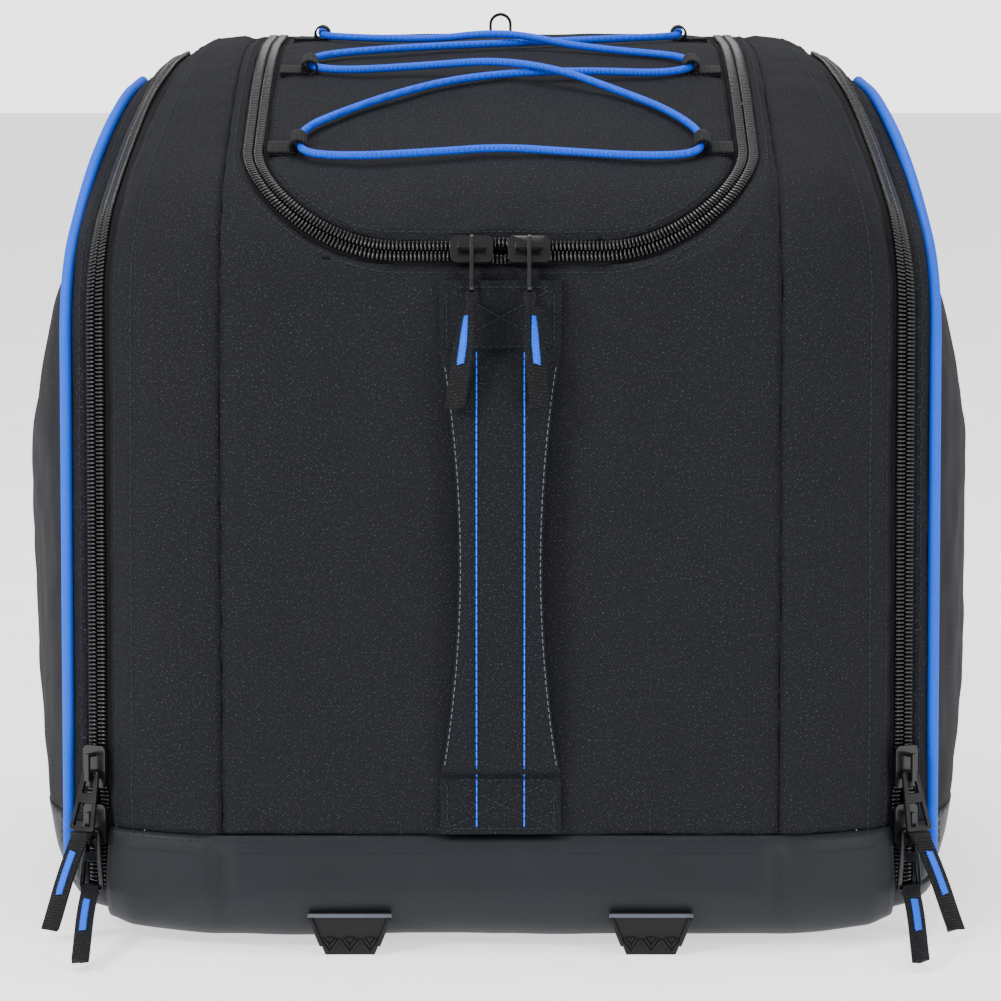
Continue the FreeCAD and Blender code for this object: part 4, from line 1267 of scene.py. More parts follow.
    def door(self, side: int, part: str, low: float, high: float, cloth: Cloth, slot: str) -> None:
        """One side door's cloth between two heights."""
        bm = self._dome(side, self.fabric_edge, 51.0, -1.5)
        for height, sign in ((low, -1), (high, 1)):
            bmesh.ops.bisect_plane(
                bm, geom=bm.verts[:] + bm.edges[:] + bm.faces[:], dist=0.001,
                plane_co=(0, 0, height), plane_no=(0, 0, sign), clear_outer=True,
            )
        if part == "door_band":
            bm.normal_update()
            for vert in bm.verts:
                away = Vector((side, 0, 0)) if abs(vert.co.x) > 190 else Vector(vert.normal)
                vert.co += away * 0.5
        name = SIDE_NAMES[side]
        self.finish(bm, f"{name}_{part}", cloth, f"{name}_door_body", slot)

    def piping(self, side: int) -> None:
        """The bright piping in the door's rim seam."""
        bm = bmesh.new()
        name = SIDE_NAMES[side]
        track = side_line(side)(12.0)
        add_sweep(bm, track, ring_outline(2.45, 14, out=1.3), 3.0, True)
        bmesh.ops.holes_fill(bm, edges=[e for e in bm.edges if e.is_boundary])
        bmesh.ops.recalc_face_normals(bm, faces=bm.faces[:])
        obj = finish_mesh(bm, f"{name}_piping", self.shop.materials[Cloth.PIPING])
        self.shop.fit(obj, f"{name}_door_body", "piping_weave", f"{name}_piping")

    def seams(self) -> None:
        """Rows of topstitching on the gussets, the doors, the front panel, the lid and the vinyl base."""
        size = (3.3, 2.3, 0.5, 0.45)
        sew, made, dark = self.shop.stitches, self.made, Cloth.THREAD_DARK
        for side in (LEFT, RIGHT):
            name, line = SIDE_NAMES[side], side_line(side)
            rows = [line(-8.0), line(-15.5)]
            sew(f"{name}_gusset_stitches", rows, dark, "shell", "body_twill", size, made[f"{name}_gusset"])
            rows = [line(7.2), line(17.2)]
            sew(f"{name}_door_stitches", rows, dark, f"{name}_door_body", "body_twill", size, made[f"{name}_door"])
        sew("front_panel_stitches", [lid_line(8.0)], dark, "shell", "body_twill", size, made["front_panel"])
        sew("lid_stitches", [lid_line(-8.0)], dark, "lid", "body_twill", size, made["top_lid"])
        rows = []
        for z in (45.6, 40.6):
            for low, high in ((-157, -116), (-110, -25), (25, 110), (116, 157)):
                rows.append(level_track(z, low, high))
        sew("base_stitches", rows, dark, "shell", "base_vinyl", (3.4, 2.5, 0.5, 0.45), made["vinyl_base"])


# ----------------------------------------------------------------------------------------------
# Zippers
# ----------------------------------------------------------------------------------------------
@dataclass
class Chain:
    """Two coil halves with their tapes along one line."""

    shop: Workshop
    name: str
    line: SewnLine
    inner: tuple[str, str]
    outer: tuple[str, str]
    gap: tuple[float, float]
    pitch: float = 1.65
    tooth: float = 4.1

    def build(self) -> None:
        """Lays both halves; the gap opens between the two sliders."""
        centre, aside = self.line(0.0), self.line(1.0)
        count = int(centre.length / self.pitch)
        stations = (np.arange(count) + 0.5) * self.pitch
        for sign, (node, body) in ((-1, self.inner), (1, self.outer)):
            where = stations + (self.pitch / 2 if sign > 0 else 0)
            where = where[where < centre.length - 0.5]
            place, along, normal = centre.at(where)
            beside, _, _ = aside.at(where * aside.length / centre.length)
            across = beside - place
            across -= (across * along).sum(axis=1, keepdims=True) * along
            across /= np.linalg.norm(across, axis=1, keepdims=True)
            inside = np.clip((where - self.gap[0]) / (self.gap[1] - self.gap[0]), 0, 1)
            spread = 1.5 * np.sin(inside * math.pi)
            origin = place + across * (sign * (self.tooth / 2 + 0.15 + spread))[:, None] - normal * 0.1
            teeth = repeat_along(
                f"{node}_teeth",
                bead(self.tooth, 1.2, 1.9, 6),
                [(origin, across, along, np.cross(across, along))],
                self.shop.materials[Cloth.COIL],
            )
            self.shop.fit(teeth, body, "zipper_coil")
            bm = bmesh.new()
            edges = [(sign * 1.2, -1.1), (sign * 4.8, -1.2), (sign * 6.0, -3.3), (sign * 12.5, -3.5)]
            add_band(bm, self.line, edges if sign > 0 else edges[::-1], 3.0)
            tape = finish_mesh(bm, f"{node}_cloth", self.shop.materials[Cloth.TAPE], outward=Vector((0, 10, 180)))
            thicken(tape, 0.6)
            self.shop.fit(tape, body, "zipper_coil", node)


def slider_gap(line: SewnLine, low: Vector, high: Vector) -> tuple[float, float]:
    """Stations of the stretch of a line nearest two points, in order."""
    track = line(0.0)
    found = [
        float(track.stations[np.argmin(np.linalg.norm(track.points - np.array(point), axis=1))])
        for point in (low, high)
    ]
    return min(found), max(found)


# ----------------------------------------------------------------------------------------------
# Pulls: sliders, pullers and webbing tags
# ----------------------------------------------------------------------------------------------
@dataclass
class Pull:
    """One slider with its two-holed puller and a webbing tag that hangs from it."""

    shop: Workshop
    name: str
    tilt: float
    lean: float
    twist: float = 0.0
    bend: float = 0.0
    length: float = 43.0
    width: float = 8.6
    thickness: float = 2.0

    def frame(self) -> tuple[Array, Array, Array, Array]:
        """The tag's hinge point and its down, wide and face directions, in millimetres."""
        bar = np.array(self.shop.joints[f"{self.name}_tag_hinge"]["pos_m"]) / MM
        top = np.array(self.shop.joints[f"{self.name}_puller_hinge"]["pos_m"]) / MM
        if self.twist:
            wide = np.array(self.shop.joints[f"{self.name}_tag_hinge"]["axis"], float)
            face = np.array([-1.0, 0, 0])
            down = np.cross(wide, face)
            return bar, down, wide, face
        down = (bar - top) / np.linalg.norm(bar - top)
        wide = np.array(self.shop.joints[f"{self.name}_tag_hinge"]["axis"], float)
        face = np.cross(down, wide)
        if face[1] > 0:
            wide, face = -wide, -face
        angle = math.radians(self.tilt)
        turned = math.cos(angle) * down + math.sin(angle) * face
        return bar, turned, wide, np.cross(turned, wide)

    def section(self, share: Array) -> tuple[Array, Array, Array]:
        """Middle, width direction and thickness direction at shares of the tag's length."""
        bar, down, wide, face = self.frame()
        free = self.length - 1.3
        slant = math.tan(math.radians(self.lean)) * free
        middle = bar + down * (1.3 + free * share)[:, None]
        if self.twist:
            middle = middle + face * (slant * share)[:, None] - wide * (self.bend * share**1.3)[:, None]
        else:
            middle = middle + wide * (slant * share)[:, None]
            middle = middle + face * (0.9 * np.sin(share * math.pi * 1.4))[:, None]
        angle = np.radians(self.twist * np.minimum(1.0, share * 2.2))
        across = wide * np.cos(angle)[:, None] + face * np.sin(angle)[:, None]
        deep = face * np.cos(angle)[:, None] - wide * np.sin(angle)[:, None]
        return middle, across, deep

    def build(self) -> None:
        """Dresses the metal and sews the tag with its bar tack."""
        self.shop.dress_node(f"{self.name}_slider", Cloth.METAL, 0.35)
        self.shop.dress_node(f"{self.name}_puller", Cloth.METAL, 0.3)
        body = f"{self.name}_tag_body"
        bm = bmesh.new()
        half, thick = self.width / 2, self.thickness / 2
        outline = [(-half, 0.35 - thick), (0, -thick), (half, 0.35 - thick), (half, thick - 0.35), (0, thick)]
        outline.append((-half, thick - 0.35))
        shape = np.array(outline + outline[:1])

        def mapping(u: Array, v: Array) -> tuple[Array, Array]:
            middle, across, deep = self.section(v)
            index = np.rint(u * 6).astype(int)
            fold = np.clip(1 - v / 0.1, 0, 1) ** 2 * 1.6
            out = shape[index, 1] + np.sign(shape[index, 1]) * fold
            frayed = 0.7 * np.sin(index * 2.4) * (v > 0.99)
            spot = middle + across * shape[index, 0][:, None] + deep * out[:, None]
            spot += (middle - self.section(np.maximum(v - 0.02, 0))[0]) * frayed[:, None]
            return spot, np.column_stack([shape[index, 0], v * self.length])

        made = add_patch(bm, 6, 36, mapping)
        bmesh.ops.remove_doubles(bm, verts=made, dist=0.01)
        bmesh.ops.holes_fill(bm, edges=[e for e in bm.edges if e.is_boundary])
        bmesh.ops.recalc_face_normals(bm, faces=bm.faces[:])
        tag = finish_mesh(bm, f"{self.name}_tag_strap", self.shop.materials[Cloth.WEBBING])
        edge = tag.modifiers.new("edges", "BEVEL")
        edge.width = 0.25 * MM
        edge.segments = 2
        edge.limit_method = "ANGLE"
        self.shop.fit(tag, body, "tag_webbing", f"{self.name}_tag")
        self.bar_tack(body)

    def bar_tack(self, body: str) -> None:
        """A dense blue zig-zag down the middle of the tag, on both faces."""
        count = 44
        share = np.linspace(0.2, 0.62, count)
        middle, across, deep = self.section(share)
        step = np.gradient(middle, axis=0)
        step /= np.linalg.norm(step, axis=1, keepdims=True)
        frames = []
        for sign in (-1, 1):
            zig = np.where(np.arange(count) % 2 == 0, 0.3, -0.3)[:, None]
            x_axis = across + step * zig
            x_axis /= np.linalg.norm(x_axis, axis=1, keepdims=True)
            z_axis = deep * sign
            frames.append((middle + z_axis * (self.thickness / 2 + 0.1), x_axis, np.cross(z_axis, x_axis), z_axis))
        tack = repeat_along(
            f"{self.name}_bar_tack", bead(3.2, 0.75, 0.7, 5), frames, self.shop.materials[Cloth.THREAD_BLUE]
        )
        self.shop.fit(tack, body, "tag_webbing")


# ----------------------------------------------------------------------------------------------
# The front handle
# ----------------------------------------------------------------------------------------------
@dataclass
class Handle:
    """The long grab handle: a sewn patch at each end and a slack, waisted middle."""

    shop: Workshop
    half: float = 24.5
    waist: float = 17.0
    foot_z: float = 49.0
    low_z: float = 73.0
    high_z: float = 243.0
    top_z: float = 271.0
    bow: float = 8.5
    wall: float = 1.7

    def half_at(self, z: Array) -> Array:
        """Half width at a height."""
        share = np.clip((z - self.low_z) / (self.high_z - self.low_z), 0, 1)
        return self.half - (self.half - self.waist) * np.sin(math.pi * share) ** 0.8

    def on_face(self, x: Array, z: Array, lift: float = 0.0) -> tuple[Array, Array]:
        """Points on the handle's outer face, and their normals."""
        x, z = np.broadcast_arrays(np.asarray(x, float), np.asarray(z, float))
        lap = SHAPE.lap_front(1.0)[0] + (z - 1.0) * (SHAPE.lap_front(101.0)[0] - SHAPE.lap_front(1.0)[0]) / 100.0
        share = np.clip((z - self.low_z) / (self.high_z - self.low_z), 0, 1)
        swell = np.sin(math.pi * share) ** 0.45
        crease = np.exp(-(((z - self.low_z) / 1.3) ** 2)) + 0.6 * np.exp(-(((z - self.high_z) / 1.5) ** 2))
        crown = 1.2 * (1 - (x / self.half_at(z)) ** 2) * swell
        wavy = 0.5 * crumple(np.column_stack([x * 0.6, z, z * 0]), 34, 5.0)
        rise = 3.5 + (self.bow - 0.9) * swell + crown + wavy - 1.5 * crease + lift
        normals = SHAPE.normals(np.zeros_like(x), lap)
        places = SHAPE.points(np.zeros_like(x), lap) + normals * rise[:, None]
        places[:, 0] = x
        return places, normals

    def row(self, start: tuple[float, float], end: tuple[float, float], count: int = 60) -> Track:
        """A line on the face between two points (X, Z)."""
        share = np.linspace(0, 1, count)
        return Track(*self.on_face(start[0] + (end[0] - start[0]) * share, start[1] + (end[1] - start[1]) * share))

    def build(self) -> None:
        """Cuts the strip and sews it."""
        bm = bmesh.new()

        def mapping(u: Array, v: Array) -> tuple[Array, Array]:
            z = self.foot_z + (self.top_z - self.foot_z) * v
            x = (2 * u - 1) * self.half_at(z)
            return self.on_face(x, z)[0], np.column_stack([x, z])

        add_patch(bm, 20, 180, mapping)
        cloth = finish_mesh(bm, "front_handle_strip", self.shop.materials[Cloth.HANDLE], outward=Vector((0, 10, 180)))
        thicken(cloth, self.wall, 0.4)
        self.shop.fit(cloth, "shell", "handle_fabric", "front_handle")
        blue = [self.row((side * 9.6, self.foot_z + 1), (side * 9.6, self.top_z - 26)) for side in (LEFT, RIGHT)]
        self.shop.stitches(
            "front_handle_blue_stitches", blue, Cloth.THREAD_BLUE, "shell", "handle_fabric", (3.3, 3.1, 0.75, 0.6)
        )
        zs = np.linspace(self.low_z + 2, self.high_z - 2, 120)
        pale = [Track(*self.on_face(side * (self.half_at(zs) - 1.0), zs)) for side in (LEFT, RIGHT)]
        self.shop.stitches(
            "front_handle_edge_stitches", pale, Cloth.THREAD_PALE, "shell", "handle_fabric", (2.8, 1.9, 0.45, 0.4)
        )
        boxes = []
        for low, high in ((self.foot_z + 2.5, self.low_z - 2), (self.high_z + 2, self.top_z - 2.5)):
            wide = self.half - 3
            corners = [(-wide, low), (wide, low), (wide, high), (-wide, high)]
            boxes += [self.row(corners[i], corners[(i + 1) % 4]) for i in range(4)]
            boxes += [self.row(corners[0], corners[2]), self.row(corners[1], corners[3])]
        self.shop.stitches(
            "front_handle_box_stitches", boxes, Cloth.THREAD_DARK, "shell", "handle_fabric", (2.8, 2.1, 0.6, 0.55)
        )


# ----------------------------------------------------------------------------------------------
# The laced bungee on the lid
# ----------------------------------------------------------------------------------------------
@dataclass
class Lacing:
    """The bungee with its six webbing loops."""

    shop: Workshop
    diameter: float = 3.3
    loop_half: float = 5.2
    loop_radius: float = 3.25
    # Across, from the crest backwards, and above the lid: one row per bend of the cord.
    route: tuple[tuple[float, float, float], ...] = (
        (-80, 71, 3.7), (-80.5, 59, 3.7), (-78, 48, 3.6), (-56, 38, 3.6), (-28, 30, 4.4), (-7, 25.5, 7.6),
        (10, 21, 7.6), (30, 14.5, 4.4), (56, 5, 3.6), (76, -2, 3.7), (82.5, -11, 3.8), (82, -21, 3.8),
        (68, -27, 3.8), (40, -24, 3.8), (8, -26, 3.9), (-20, -34, 3.9), (-44, -48, 3.9), (-66, -65, 4),
        (-81, -79, 4), (-83.5, -92, 4), (-80, -103, 4.1), (-58, -105, 4.2), (-26, -101, 4.1), (0, -97, 4.1),
        (28, -101, 4.1), (58, -105, 4.2), (80, -103, 4.1), (83.5, -92, 4), (81, -79, 4), (68, -61, 4),
        (46, -43, 4.2), (25, -31, 7), (-2, -23.5, 8.2), (-30, -20.5, 5), (-66, -24, 3.9), (-82, -19, 3.8),
        (-82.5, -9, 3.8), (-76, 0, 3.7), (-54, 9, 3.6), (-26, 17, 3.6), (2, 23, 3.6), (28, 30, 3.6),
        (58, 39, 3.6), (78, 48, 3.6), (80.5, 59, 3.7), (80, 71, 3.7),
    )

    def build(self) -> None:
        """Lays the cord, its end knots and the loops."""
        curve = bpy.data.curves.new("bungee_lacing", "CURVE")
        curve.dimensions = "3D"
        spline = curve.splines.new("NURBS")
        spline.points.add(len(self.route) - 1)
        for point, (x, y, rise) in zip(spline.points, self.route):
            place = y + SHAPE.crest_y
            point.co = (x * MM, place * MM, (SHAPE.height_at(place) + rise) * MM, 1)
        spline.order_u = 3
        spline.use_endpoint_u = True
        curve.resolution_u = 8
        curve.bevel_depth = self.diameter / 2 * MM
        curve.bevel_resolution = 4
        curve.use_fill_caps = True
        curve.materials.append(self.shop.materials[Cloth.BUNGEE])
        cord = bpy.data.objects.new("bungee_lacing", curve)
        bpy.context.scene.collection.objects.link(cord)
        self.shop.fit(cord, "lid", "bungee_braid", "bungee_cord")
        self.knots()
        for row, x, y in (("front", 83.3, -91.5), ("middle", 82.2, -15.5), ("rear", 80.3, 60)):
            self.loops(row, x, y + SHAPE.crest_y)

    def knots(self) -> None:
        """An overhand knot at each end of the cord, as two wraps of it."""
        bm = bmesh.new()
        for x, y, rise in (self.route[0], self.route[-1]):
            place = y + SHAPE.crest_y
            centre = np.array([x, place, SHAPE.height_at(place) + rise])
            angle = np.linspace(0, 4.2 * math.pi, 60)
            ring = np.column_stack([1.5 * np.cos(angle), np.linspace(-1.6, 1.8, 60), 1.5 * np.sin(angle)])
            out = ring * np.array([1, 0, 1]) / 1.5
            add_sweep(bm, Track(centre + ring, out), ring_outline(1.3, 8), 0.8, True)
        bmesh.ops.recalc_face_normals(bm, faces=bm.faces[:])
        self.shop.fit(finish_mesh(bm, "bungee_knots", self.shop.materials[Cloth.BUNGEE]), "lid", "bungee_braid")

    def loops(self, row: str, x: float, y: float) -> None:
        """A pair of webbing loops folded round the cord, with sewn tails."""
        bm = bmesh.new()
        radius = self.loop_radius
        turn = np.linspace(-math.pi / 2, 1.5 * math.pi, 29)
        path = [(radius + 9.5, 0.55), (3.0, 0.55)]
        path += [(-radius * math.cos(a), radius + 0.6 + radius * math.sin(a)) for a in turn]
        path += [(3.0, 1.5), (radius + 9.5, 1.6)]
        path = np.array(path)
        measure = np.concatenate([[0], np.cumsum(np.linalg.norm(np.diff(path, axis=0), axis=1))])
        slope = (SHAPE.height_at(y + 1) - SHAPE.height_at(y - 1)) / 2
        along = np.array([0, 1, slope]) / math.hypot(1, slope)
        up = np.array([0, -slope, 1]) / math.hypot(1, slope)
        for side in (LEFT, RIGHT):
            origin = np.array([side * x, y, SHAPE.height_at(y)])

            def mapping(u: Array, v: Array) -> tuple[Array, Array]:
                spot = np.column_stack([np.interp(u * measure[-1], measure, path[:, k]) for k in (0, 1)])
                width = (2 * v - 1) * self.loop_half
                places = origin + side * spot[:, :1] * np.array([1.0, 0, 0]) + up * spot[:, 1:] + along * width[:, None]
                return places, np.column_stack([width, u * measure[-1]])

            add_patch(bm, 48, 6, mapping)
        obj = finish_mesh(bm, f"{row}_loop_webbing", self.shop.materials[Cloth.WEBBING])
        wall = obj.modifiers.new("wall", "SOLIDIFY")
        wall.thickness = 0.8 * MM
        wall.offset = 0
        self.shop.fit(obj, "lid", "black_webbing", f"{row}_bungee_loops")


# ----------------------------------------------------------------------------------------------
# The back: pad, shoulder straps and their webbing
# ----------------------------------------------------------------------------------------------
@dataclass
class BackCarry:
    """Padded back, two shoulder straps, ladder locks and lower webbings."""

    shop: Workshop
    pad_half: float = 108.0
    pad_low: float = 62.0
    pad_high: float = 336.0
    corner: float = 24.0
    strap_half: float = 27.0

    def build(self) -> None:
        """Builds the pad and both straps."""
        self.pad()
        for side in (LEFT, RIGHT):
            self.strap(side)
            self.webbing(side)
            self.shop.dress_node(f"{SIDE_NAMES[side]}_ladder_lock", Cloth.PLASTIC, 0.6)

    def _plate(self, bm: bmesh.types.BMesh, spine: Callable[[Array], tuple[Array, Array]], low: float, high: float,
               corner: float, y_low: float, thick: float, grooves: Callable[[Array, Array, Array], Array], cells: tuple[int, int]) -> None:
        """A crowned pad on a rounded outline, closed at its back.

        Args:
            bm: The mesh to add to.
            spine: Middle X and half width at heights.
            low: Lower end.
            high: Upper end.
            corner: Corner radius.
            y_low: Y of the flat back.
            thick: Height of the crown.
            grooves: Depth of sewn grooves at X offset, Z and half width.
            cells: Faces across and up.
        """

        def mapping(u: Array, v: Array) -> tuple[Array, Array]:
            z = low + (high - low) * v
            middle, half = spine(z)
            near = np.clip(np.minimum(z - low, high - z), 0, corner)
            inset = corner - np.sqrt(np.maximum(corner**2 - (corner - near) ** 2, 0))
            reach = (2 * u - 1) * (half - inset)
            edge = np.minimum(half - inset - np.abs(reach), np.minimum(z - low, high - z))
            crown = np.sqrt(np.clip(1 - (1 - np.clip(edge / 9.0, 0, 1)) ** 2, 0, 1))
            lift = 0.8 + (thick - 0.8) * crown - grooves(reach, z, half) * crown
            lift += 0.35 * crown * crumple(np.column_stack([reach, z, z * 0]), 24, 13.0)
            places = np.column_stack([middle + reach, y_low + lift, z])
            return places, np.column_stack([reach, z])

        made = add_patch(bm, cells[0], cells[1], mapping)
        faces = list({face for vert in made for face in vert.link_faces})
        grown = bmesh.ops.extrude_face_region(bm, geom=faces)["geom"]
        for item in grown:
            if isinstance(item, bmesh.types.BMVert):
                item.co.y = y_low
        bmesh.ops.remove_doubles(bm, verts=bm.verts[:], dist=0.01)
        bmesh.ops.recalc_face_normals(bm, faces=bm.faces[:])

    def pad(self) -> None:
        """The back pad with one vertical and four cross channels."""
        bm = bmesh.new()

        def grooves(x: Array, z: Array, half: Array) -> Array:
            down = np.exp(-((x / 4.0) ** 2))
            rows = sum(np.exp(-(((z - level) / 4.0) ** 2)) for level in (116, 170, 224, 278))
            return 4.2 * np.clip(down + rows, 0, 1)

        def spine(z: Array) -> tuple[Array, Array]:
            share = (z - self.pad_low) / (self.pad_high - self.pad_low)
            return np.zeros_like(z), self.pad_half - 6 * share

        self._plate(bm, spine, self.pad_low, self.pad_high, self.corner, SHAPE.back_y + 0.2, 7.2, grooves, (90, 116))
        obj = finish_mesh(bm, "back_pad_cushion", self.shop.materials[Cloth.MESH])
        self.shop.fit(obj, "shell", "mesh_foam", "back_pad")

    def strap(self, side: int) -> None:
        """One padded shoulder strap with bound edges."""
        bm = bmesh.new()
        name = SIDE_NAMES[side]

        def grooves(x: Array, z: Array, half: Array) -> Array:
            return 2.6 * np.exp(-(((np.abs(x) - (half - 7)) / 1.8) ** 2))

        def spine(z: Array) -> tuple[Array, Array]:
            share = (z - 108.0) / 210.0
            middle = side * (84 - 40 * share + 3.0 * np.sin(share * math.pi))
            return middle, self.strap_half - 4.5 + 3.5 * np.sin(np.clip(share, 0, 1) * math.pi)

        back = SHAPE.back_y + 7.7
        self._plate(bm, spine, 108.0, 318.0, 12.0, back, 8.6, grooves, (30, 96))
        obj = finish_mesh(bm, f"{name}_shoulder_strap_cushion", self.shop.materials[Cloth.MESH])
        self.shop.fit(obj, "shell", "mesh_foam", f"{name}_shoulder_strap")
        bound = bmesh.new()
        z = np.linspace(114, 312, 60)
        for edge in (-1, 1):
            middle, half = spine(z)
            line = np.column_stack([middle + edge * (half - 0.6), np.full(60, back + 1.8), z])
            add_sweep(bound, Track(line, np.tile([0.0, 1.0, 0.0], (60, 1))), ring_outline(1.7, 10), 4.0, True)
        bmesh.ops.recalc_face_normals(bound, faces=bound.faces[:])
        binding = finish_mesh(bound, f"{name}_strap_binding", self.shop.materials[Cloth.WEBBING])
        self.shop.fit(binding, "shell", "black_webbing")
        web = bmesh.new()
        top = [(side * 44, back + 9.2, 300.0), (side * 60, back + 9.2, 222.0)]
        top += [(side * 84, back + 8.8, 112.0), (side * 84, back + 4.6, 96.0)]
        self._ribbon(web, top, 10.0, 1.4)
        webbing = finish_mesh(web, f"{name}_strap_top_webbing", self.shop.materials[Cloth.WEBBING])
        self.shop.fit(webbing, "shell", "black_webbing")

    def _ribbon(
        self, bm: bmesh.types.BMesh, route: Sequence[tuple[float, float, float]], half: float, thick: float
    ) -> None:
        """A flat webbing through points, its faces towards the back."""
        points = np.array(route, float)
        share = np.linspace(0, 1, 40)
        knots = np.linspace(0, 1, len(points))
        line = np.column_stack([np.interp(share, knots, points[:, k]) for k in range(3)])
        for _ in range(3):
            line[1:-1] = (line[:-2] + 2 * line[1:-1] + line[2:]) / 4
        outline = [(-half, -thick / 2), (half, -thick / 2), (half, thick / 2), (-half, thick / 2)]
        add_sweep(bm, Track(line, np.tile([0.0, 1.0, 0.0], (40, 1))), outline, 4.0, True)
        bmesh.ops.holes_fill(bm, edges=[e for e in bm.edges if e.is_boundary])
        bmesh.ops.recalc_face_normals(bm, faces=bm.faces[:])

    def webbing(self, side: int) -> None:
        """The lower webbing from the ladder lock to the base seam."""
        name = SIDE_NAMES[side]
        bm = bmesh.new()
        back = SHAPE.back_y
        route = [(side * 84, back + 12.9, 80.0), (side * 86, back + 12.6, 72.0)]
        route += [(side * 104, back + 6.5, 50.0), (side * 122, back + 1.0, 31.0)]
        self._ribbon(bm, route, 12.4, 1.5)
        obj = finish_mesh(bm, f"{name}_lower_webbing", self.shop.materials[Cloth.WEBBING])
        self.shop.fit(obj, "shell", "black_webbing", f"{name}_strap_webbing")


# ----------------------------------------------------------------------------------------------
# Feet, hang loop and the inside
# ----------------------------------------------------------------------------------------------
@dataclass
class Fittings:
    """The feet, the hang loop, the base board and the dividers."""

    shop: Workshop
    foot_x: float = 61.0
    divider_low: float = 81.2
    divider_high: float = 120.2

    def build(self) -> None:
        """Builds all four kinds."""
        for end, wall, way in (("front", SHAPE.front_y, -1), ("rear", SHAPE.back_y, 1)):
            for side in (LEFT, RIGHT):
                self.foot(end, wall, way, side)
        self.hang_loop()
        self.shop.dress_node("base_board", Cloth.BOARD, 0.4)
        for side in (LEFT, RIGHT):
            self.divider(side)

    def foot(self, end: str, wall: float, way: int, side: int) -> None:
        """A rubber foot: its block with a light rim along its top edge, painted in as a highlight, and nested chevrons
        on the upright face.
        """
        name = f"{end}_{SIDE_NAMES[side]}_foot"
        self.shop.dress_node(name, Cloth.RUBBER, 0.5)
        face = wall + way * 3.2
        x = side * self.foot_x
        normal = (0.0, float(way), 0.0)
        ribs = bmesh.new()
        for middle in (-8.2, 0.0, 8.2):
            for inner, low in ((4.1, 0.9), (2.6, 3.4), (1.2, 5.9)):
                for arm in (-1, 1):
                    start = (x + middle, face, low)
                    stop = (x + middle + arm * inner, face, low + inner * 1.35)
                    add_sweep(ribs, straight_track(start, stop, normal, 4), ring_outline(0.62, 8), 1.5, True)
        for arm in (-1, 1):
            start, stop = (x + arm * 16.0, face, 15.4), (x + arm * 11.4, face, 4.0)
            add_sweep(ribs, straight_track(start, stop, normal, 6), ring_outline(1.0, 8), 2.0, True)
        bmesh.ops.holes_fill(ribs, edges=[e for e in ribs.edges if e.is_boundary])
        bmesh.ops.recalc_face_normals(ribs, faces=ribs.faces[:])
        self.shop.fit(finish_mesh(ribs, f"{name}_chevrons", self.shop.materials[Cloth.RUBBER]), "shell", "foot_rubber")
        # Painted highlight: a thin light grey rod along the top edge stands in for light catching it.
        rim = bmesh.new()
        track = straight_track((x - 17, face, 16.4), (x + 17, face, 16.4), normal, 8)
        add_sweep(rim, track, ring_outline(0.85, 10), 3.0, True)
        bmesh.ops.holes_fill(rim, edges=[e for e in rim.edges if e.is_boundary])
        bmesh.ops.recalc_face_normals(rim, faces=rim.faces[:])
        self.shop.fit(finish_mesh(rim, f"{name}_rim", self.shop.materials[Cloth.EDGE_HIGHLIGHT]), "shell", "foot_rubber")

    def hang_loop(self) -> None:
        """A folded webbing loop on the top back seam."""
        bm = bmesh.new()
        middle_y = SHAPE.back_y - 9.4
        turn = np.linspace(0, math.pi, 17)
        path = [(4.6, 361.0)] + [(4.6 * math.cos(a), 365.4 + 4.6 * math.sin(a)) for a in turn] + [(-4.6, 361.0)]
        path = np.array(path)
        measure = np.concatenate([[0], np.cumsum(np.linalg.norm(np.diff(path, axis=0), axis=1))])

        def mapping(u: Array, v: Array) -> tuple[Array, Array]:
            spot = np.column_stack([np.interp(u * measure[-1], measure, path[:, k]) for k in (0, 1)])
            width = (2 * v - 1) * 3.9
            return np.column_stack([spot[:, 0], middle_y + width, spot[:, 1]]), np.column_stack([width, u * measure[-1]])

        add_patch(bm, 30, 5, mapping)
        obj = finish_mesh(bm, "hang_loop_webbing", self.shop.materials[Cloth.WEBBING])
        wall = obj.modifiers.new("wall", "SOLIDIFY")
        wall.thickness = 1.3 * MM
        wall.offset = 0
        self.shop.fit(obj, "hang_loop_body", "black_webbing", "hang_loop")

    def divider(self, side: int) -> None:
        """A sloping cloth wall between the middle room and a boot room."""
        bm = bmesh.new()
        floor = 12.4

        def mapping(u: Array, v: Array) -> tuple[Array, Array]:
            ring = SHAPE.lifted(np.zeros_like(v), v * SHAPE.lap_length, -5.0)
            ring[:, 2] = np.maximum(ring[:, 2], floor)
            centre = np.array([0.0, 8.0, 180.0])
            places = centre + (ring - centre) * u[:, None]
            share = (places[:, 2] - floor) / (SHAPE.crest_z - floor)
            sag = 1.6 * crumple(places, 60, 71.0 + side) * (1 - u**4)
            places[:, 0] = side * (self.divider_low + (self.divider_high - self.divider_low) * share) + sag
            return places, places[:, 1:]

        made = add_patch(bm, 30, 120, mapping)
        bmesh.ops.remove_doubles(bm, verts=made, dist=0.05)
        bmesh.ops.recalc_face_normals(bm, faces=bm.faces[:])
        name = SIDE_NAMES[side]
        obj = finish_mesh(bm, f"{name}_divider_cloth", self.shop.materials[Cloth.LINING])
        wall = obj.modifiers.new("wall", "SOLIDIFY")
        wall.thickness = 2.0 * MM
        wall.offset = 0
        self.shop.fit(obj, "shell", "lining_cloth", f"{name}_divider")


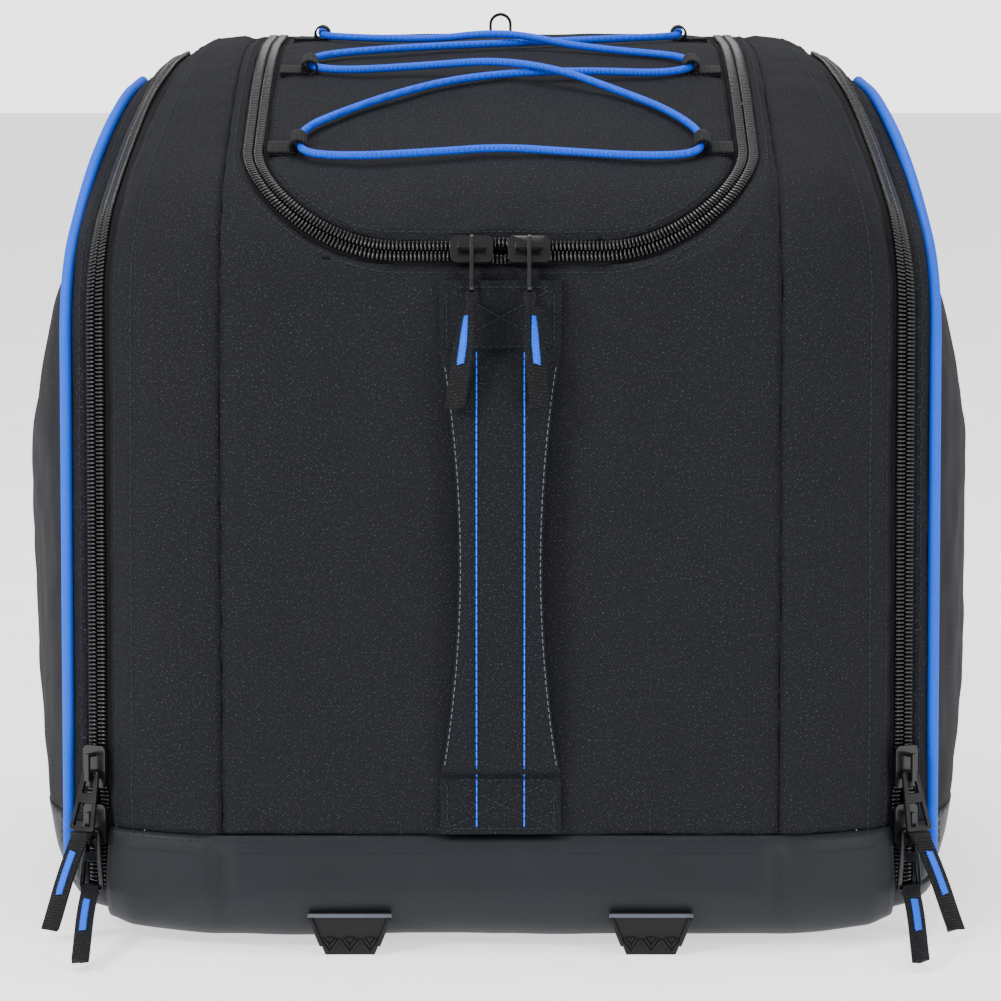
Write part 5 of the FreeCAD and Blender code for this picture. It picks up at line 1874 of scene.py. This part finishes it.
# ----------------------------------------------------------------------------------------------
# Stage, lights and camera
# ----------------------------------------------------------------------------------------------
@dataclass
class Studio:
    """A pale sweep, soft lights and the camera."""

    camera_place: tuple[float, float, float] = (0.0, -1.5861, 0.42)
    camera_target: tuple[float, float, float] = (0.0, -0.0861, 0.178)
    lens: float = 132.7
    room_light: float = 0.75
    backdrop_light: float = 3.0

    def build(self) -> None:
        """Sets the stage."""
        self.sweep()
        world = bpy.data.worlds.new("soft_room")
        world.use_nodes = True
        tree = world.node_tree
        tree.nodes.clear()
        seen = add_node(tree, "ShaderNodeLightPath").outputs["Is Camera Ray"]
        strength = add_node(
            tree, "ShaderNodeMapRange", {"To Min": self.room_light, "To Max": self.backdrop_light}, {"Value": seen}
        )
        background = add_node(tree, "ShaderNodeBackground", {"Color": (1, 1, 1, 1)}, {"Strength": strength.outputs[0]})
        add_node(tree, "ShaderNodeOutputWorld", links={"Surface": background.outputs[0]})
        bpy.context.scene.world = world
        self.lamp("key_left", (-1.3, -1.1, 1.3), 0.6, 34)
        self.lamp("key_right", (1.4, -1.2, 0.9), 0.7, 14)
        self.lamp("overhead", (0.0, 0.1, 1.9), 1.2, 26)
        self.camera()

    def sweep(self) -> None:
        """A pale floor."""
        bm = bmesh.new()
        bmesh.ops.create_grid(bm, x_segments=2, y_segments=2, size=6000)
        finish = Coated("pale_floor", "#fafafa", 0.8, grain=3.0, coat=0.0, depth=0.01)
        material = finish.build()
        shader = next(node for node in material.node_tree.nodes if node.type == "BSDF_PRINCIPLED")
        shader.inputs["Emission Color"].default_value = (1, 1, 1, 1)
        shader.inputs["Emission Strength"].default_value = 1.1
        floor = finish_mesh(bm, "floor", material, smooth=False)

    def lamp(self, name: str, place: tuple[float, float, float], size: float, power: float) -> None:
        """One soft area lamp aimed at the bag."""
        data = bpy.data.lights.new(name, "AREA")
        data.shape = "DISK"
        data.size = size
        data.energy = power
        lamp = bpy.data.objects.new(name, data)
        lamp.location = place
        lamp.rotation_euler = (Vector((0, 0, 0.18)) - Vector(place)).to_track_quat("-Z", "Y").to_euler()
        bpy.context.scene.collection.objects.link(lamp)

    def camera(self) -> None:
        """The camera, a little above the bag's middle and straight in front."""
        data = bpy.data.cameras.new("camera")
        data.lens = self.lens
        data.sensor_width = 36.0
        camera = bpy.data.objects.new("camera", data)
        camera.location = self.camera_place
        aim = Vector(self.camera_target) - Vector(self.camera_place)
        camera.rotation_euler = aim.to_track_quat("-Z", "Y").to_euler()
        bpy.context.scene.collection.objects.link(camera)
        bpy.context.scene.camera = camera


def main() -> None:
    """Builds the bag round its frame."""
    logging.basicConfig(level=logging.INFO, format="%(name)s: %(message)s")
    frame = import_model()
    shop = Workshop(frame)
    Panels(shop).build()
    for side in (LEFT, RIGHT):
        name, line = SIDE_NAMES[side], side_line(side)
        gap = slider_gap(line, (side * 165, -119, 51), (side * 165, -117, 66))
        inner, outer = (f"{name}_body_zipper_tape", "shell"), (f"{name}_door_zipper_tape", f"{name}_door_body")
        Chain(shop, name, line, inner, outer, gap).build()
    gap = slider_gap(lid_line, (-7, -106.2, 282.9), (7, -106.2, 282.9))
    Chain(shop, "lid", lid_line, ("top_lid_zipper_tape", "lid"), ("front_lid_zipper_tape", "shell"), gap).build()
    Pull(shop, "left_upper", tilt=-13, lean=-21).build()
    Pull(shop, "left_lower", tilt=60, lean=28).build()
    Pull(shop, "right_upper", tilt=-13, lean=24).build()
    Pull(shop, "right_lower", tilt=60, lean=-28).build()
    Pull(shop, "lid_left", tilt=0, lean=9, twist=-70, bend=16).build()
    Pull(shop, "lid_right", tilt=0, lean=-6, twist=70, bend=16).build()
    Handle(shop).build()
    Lacing(shop).build()
    BackCarry(shop).build()
    Fittings(shop).build()
    Studio().build()


if __name__ == "__main__":
    main()
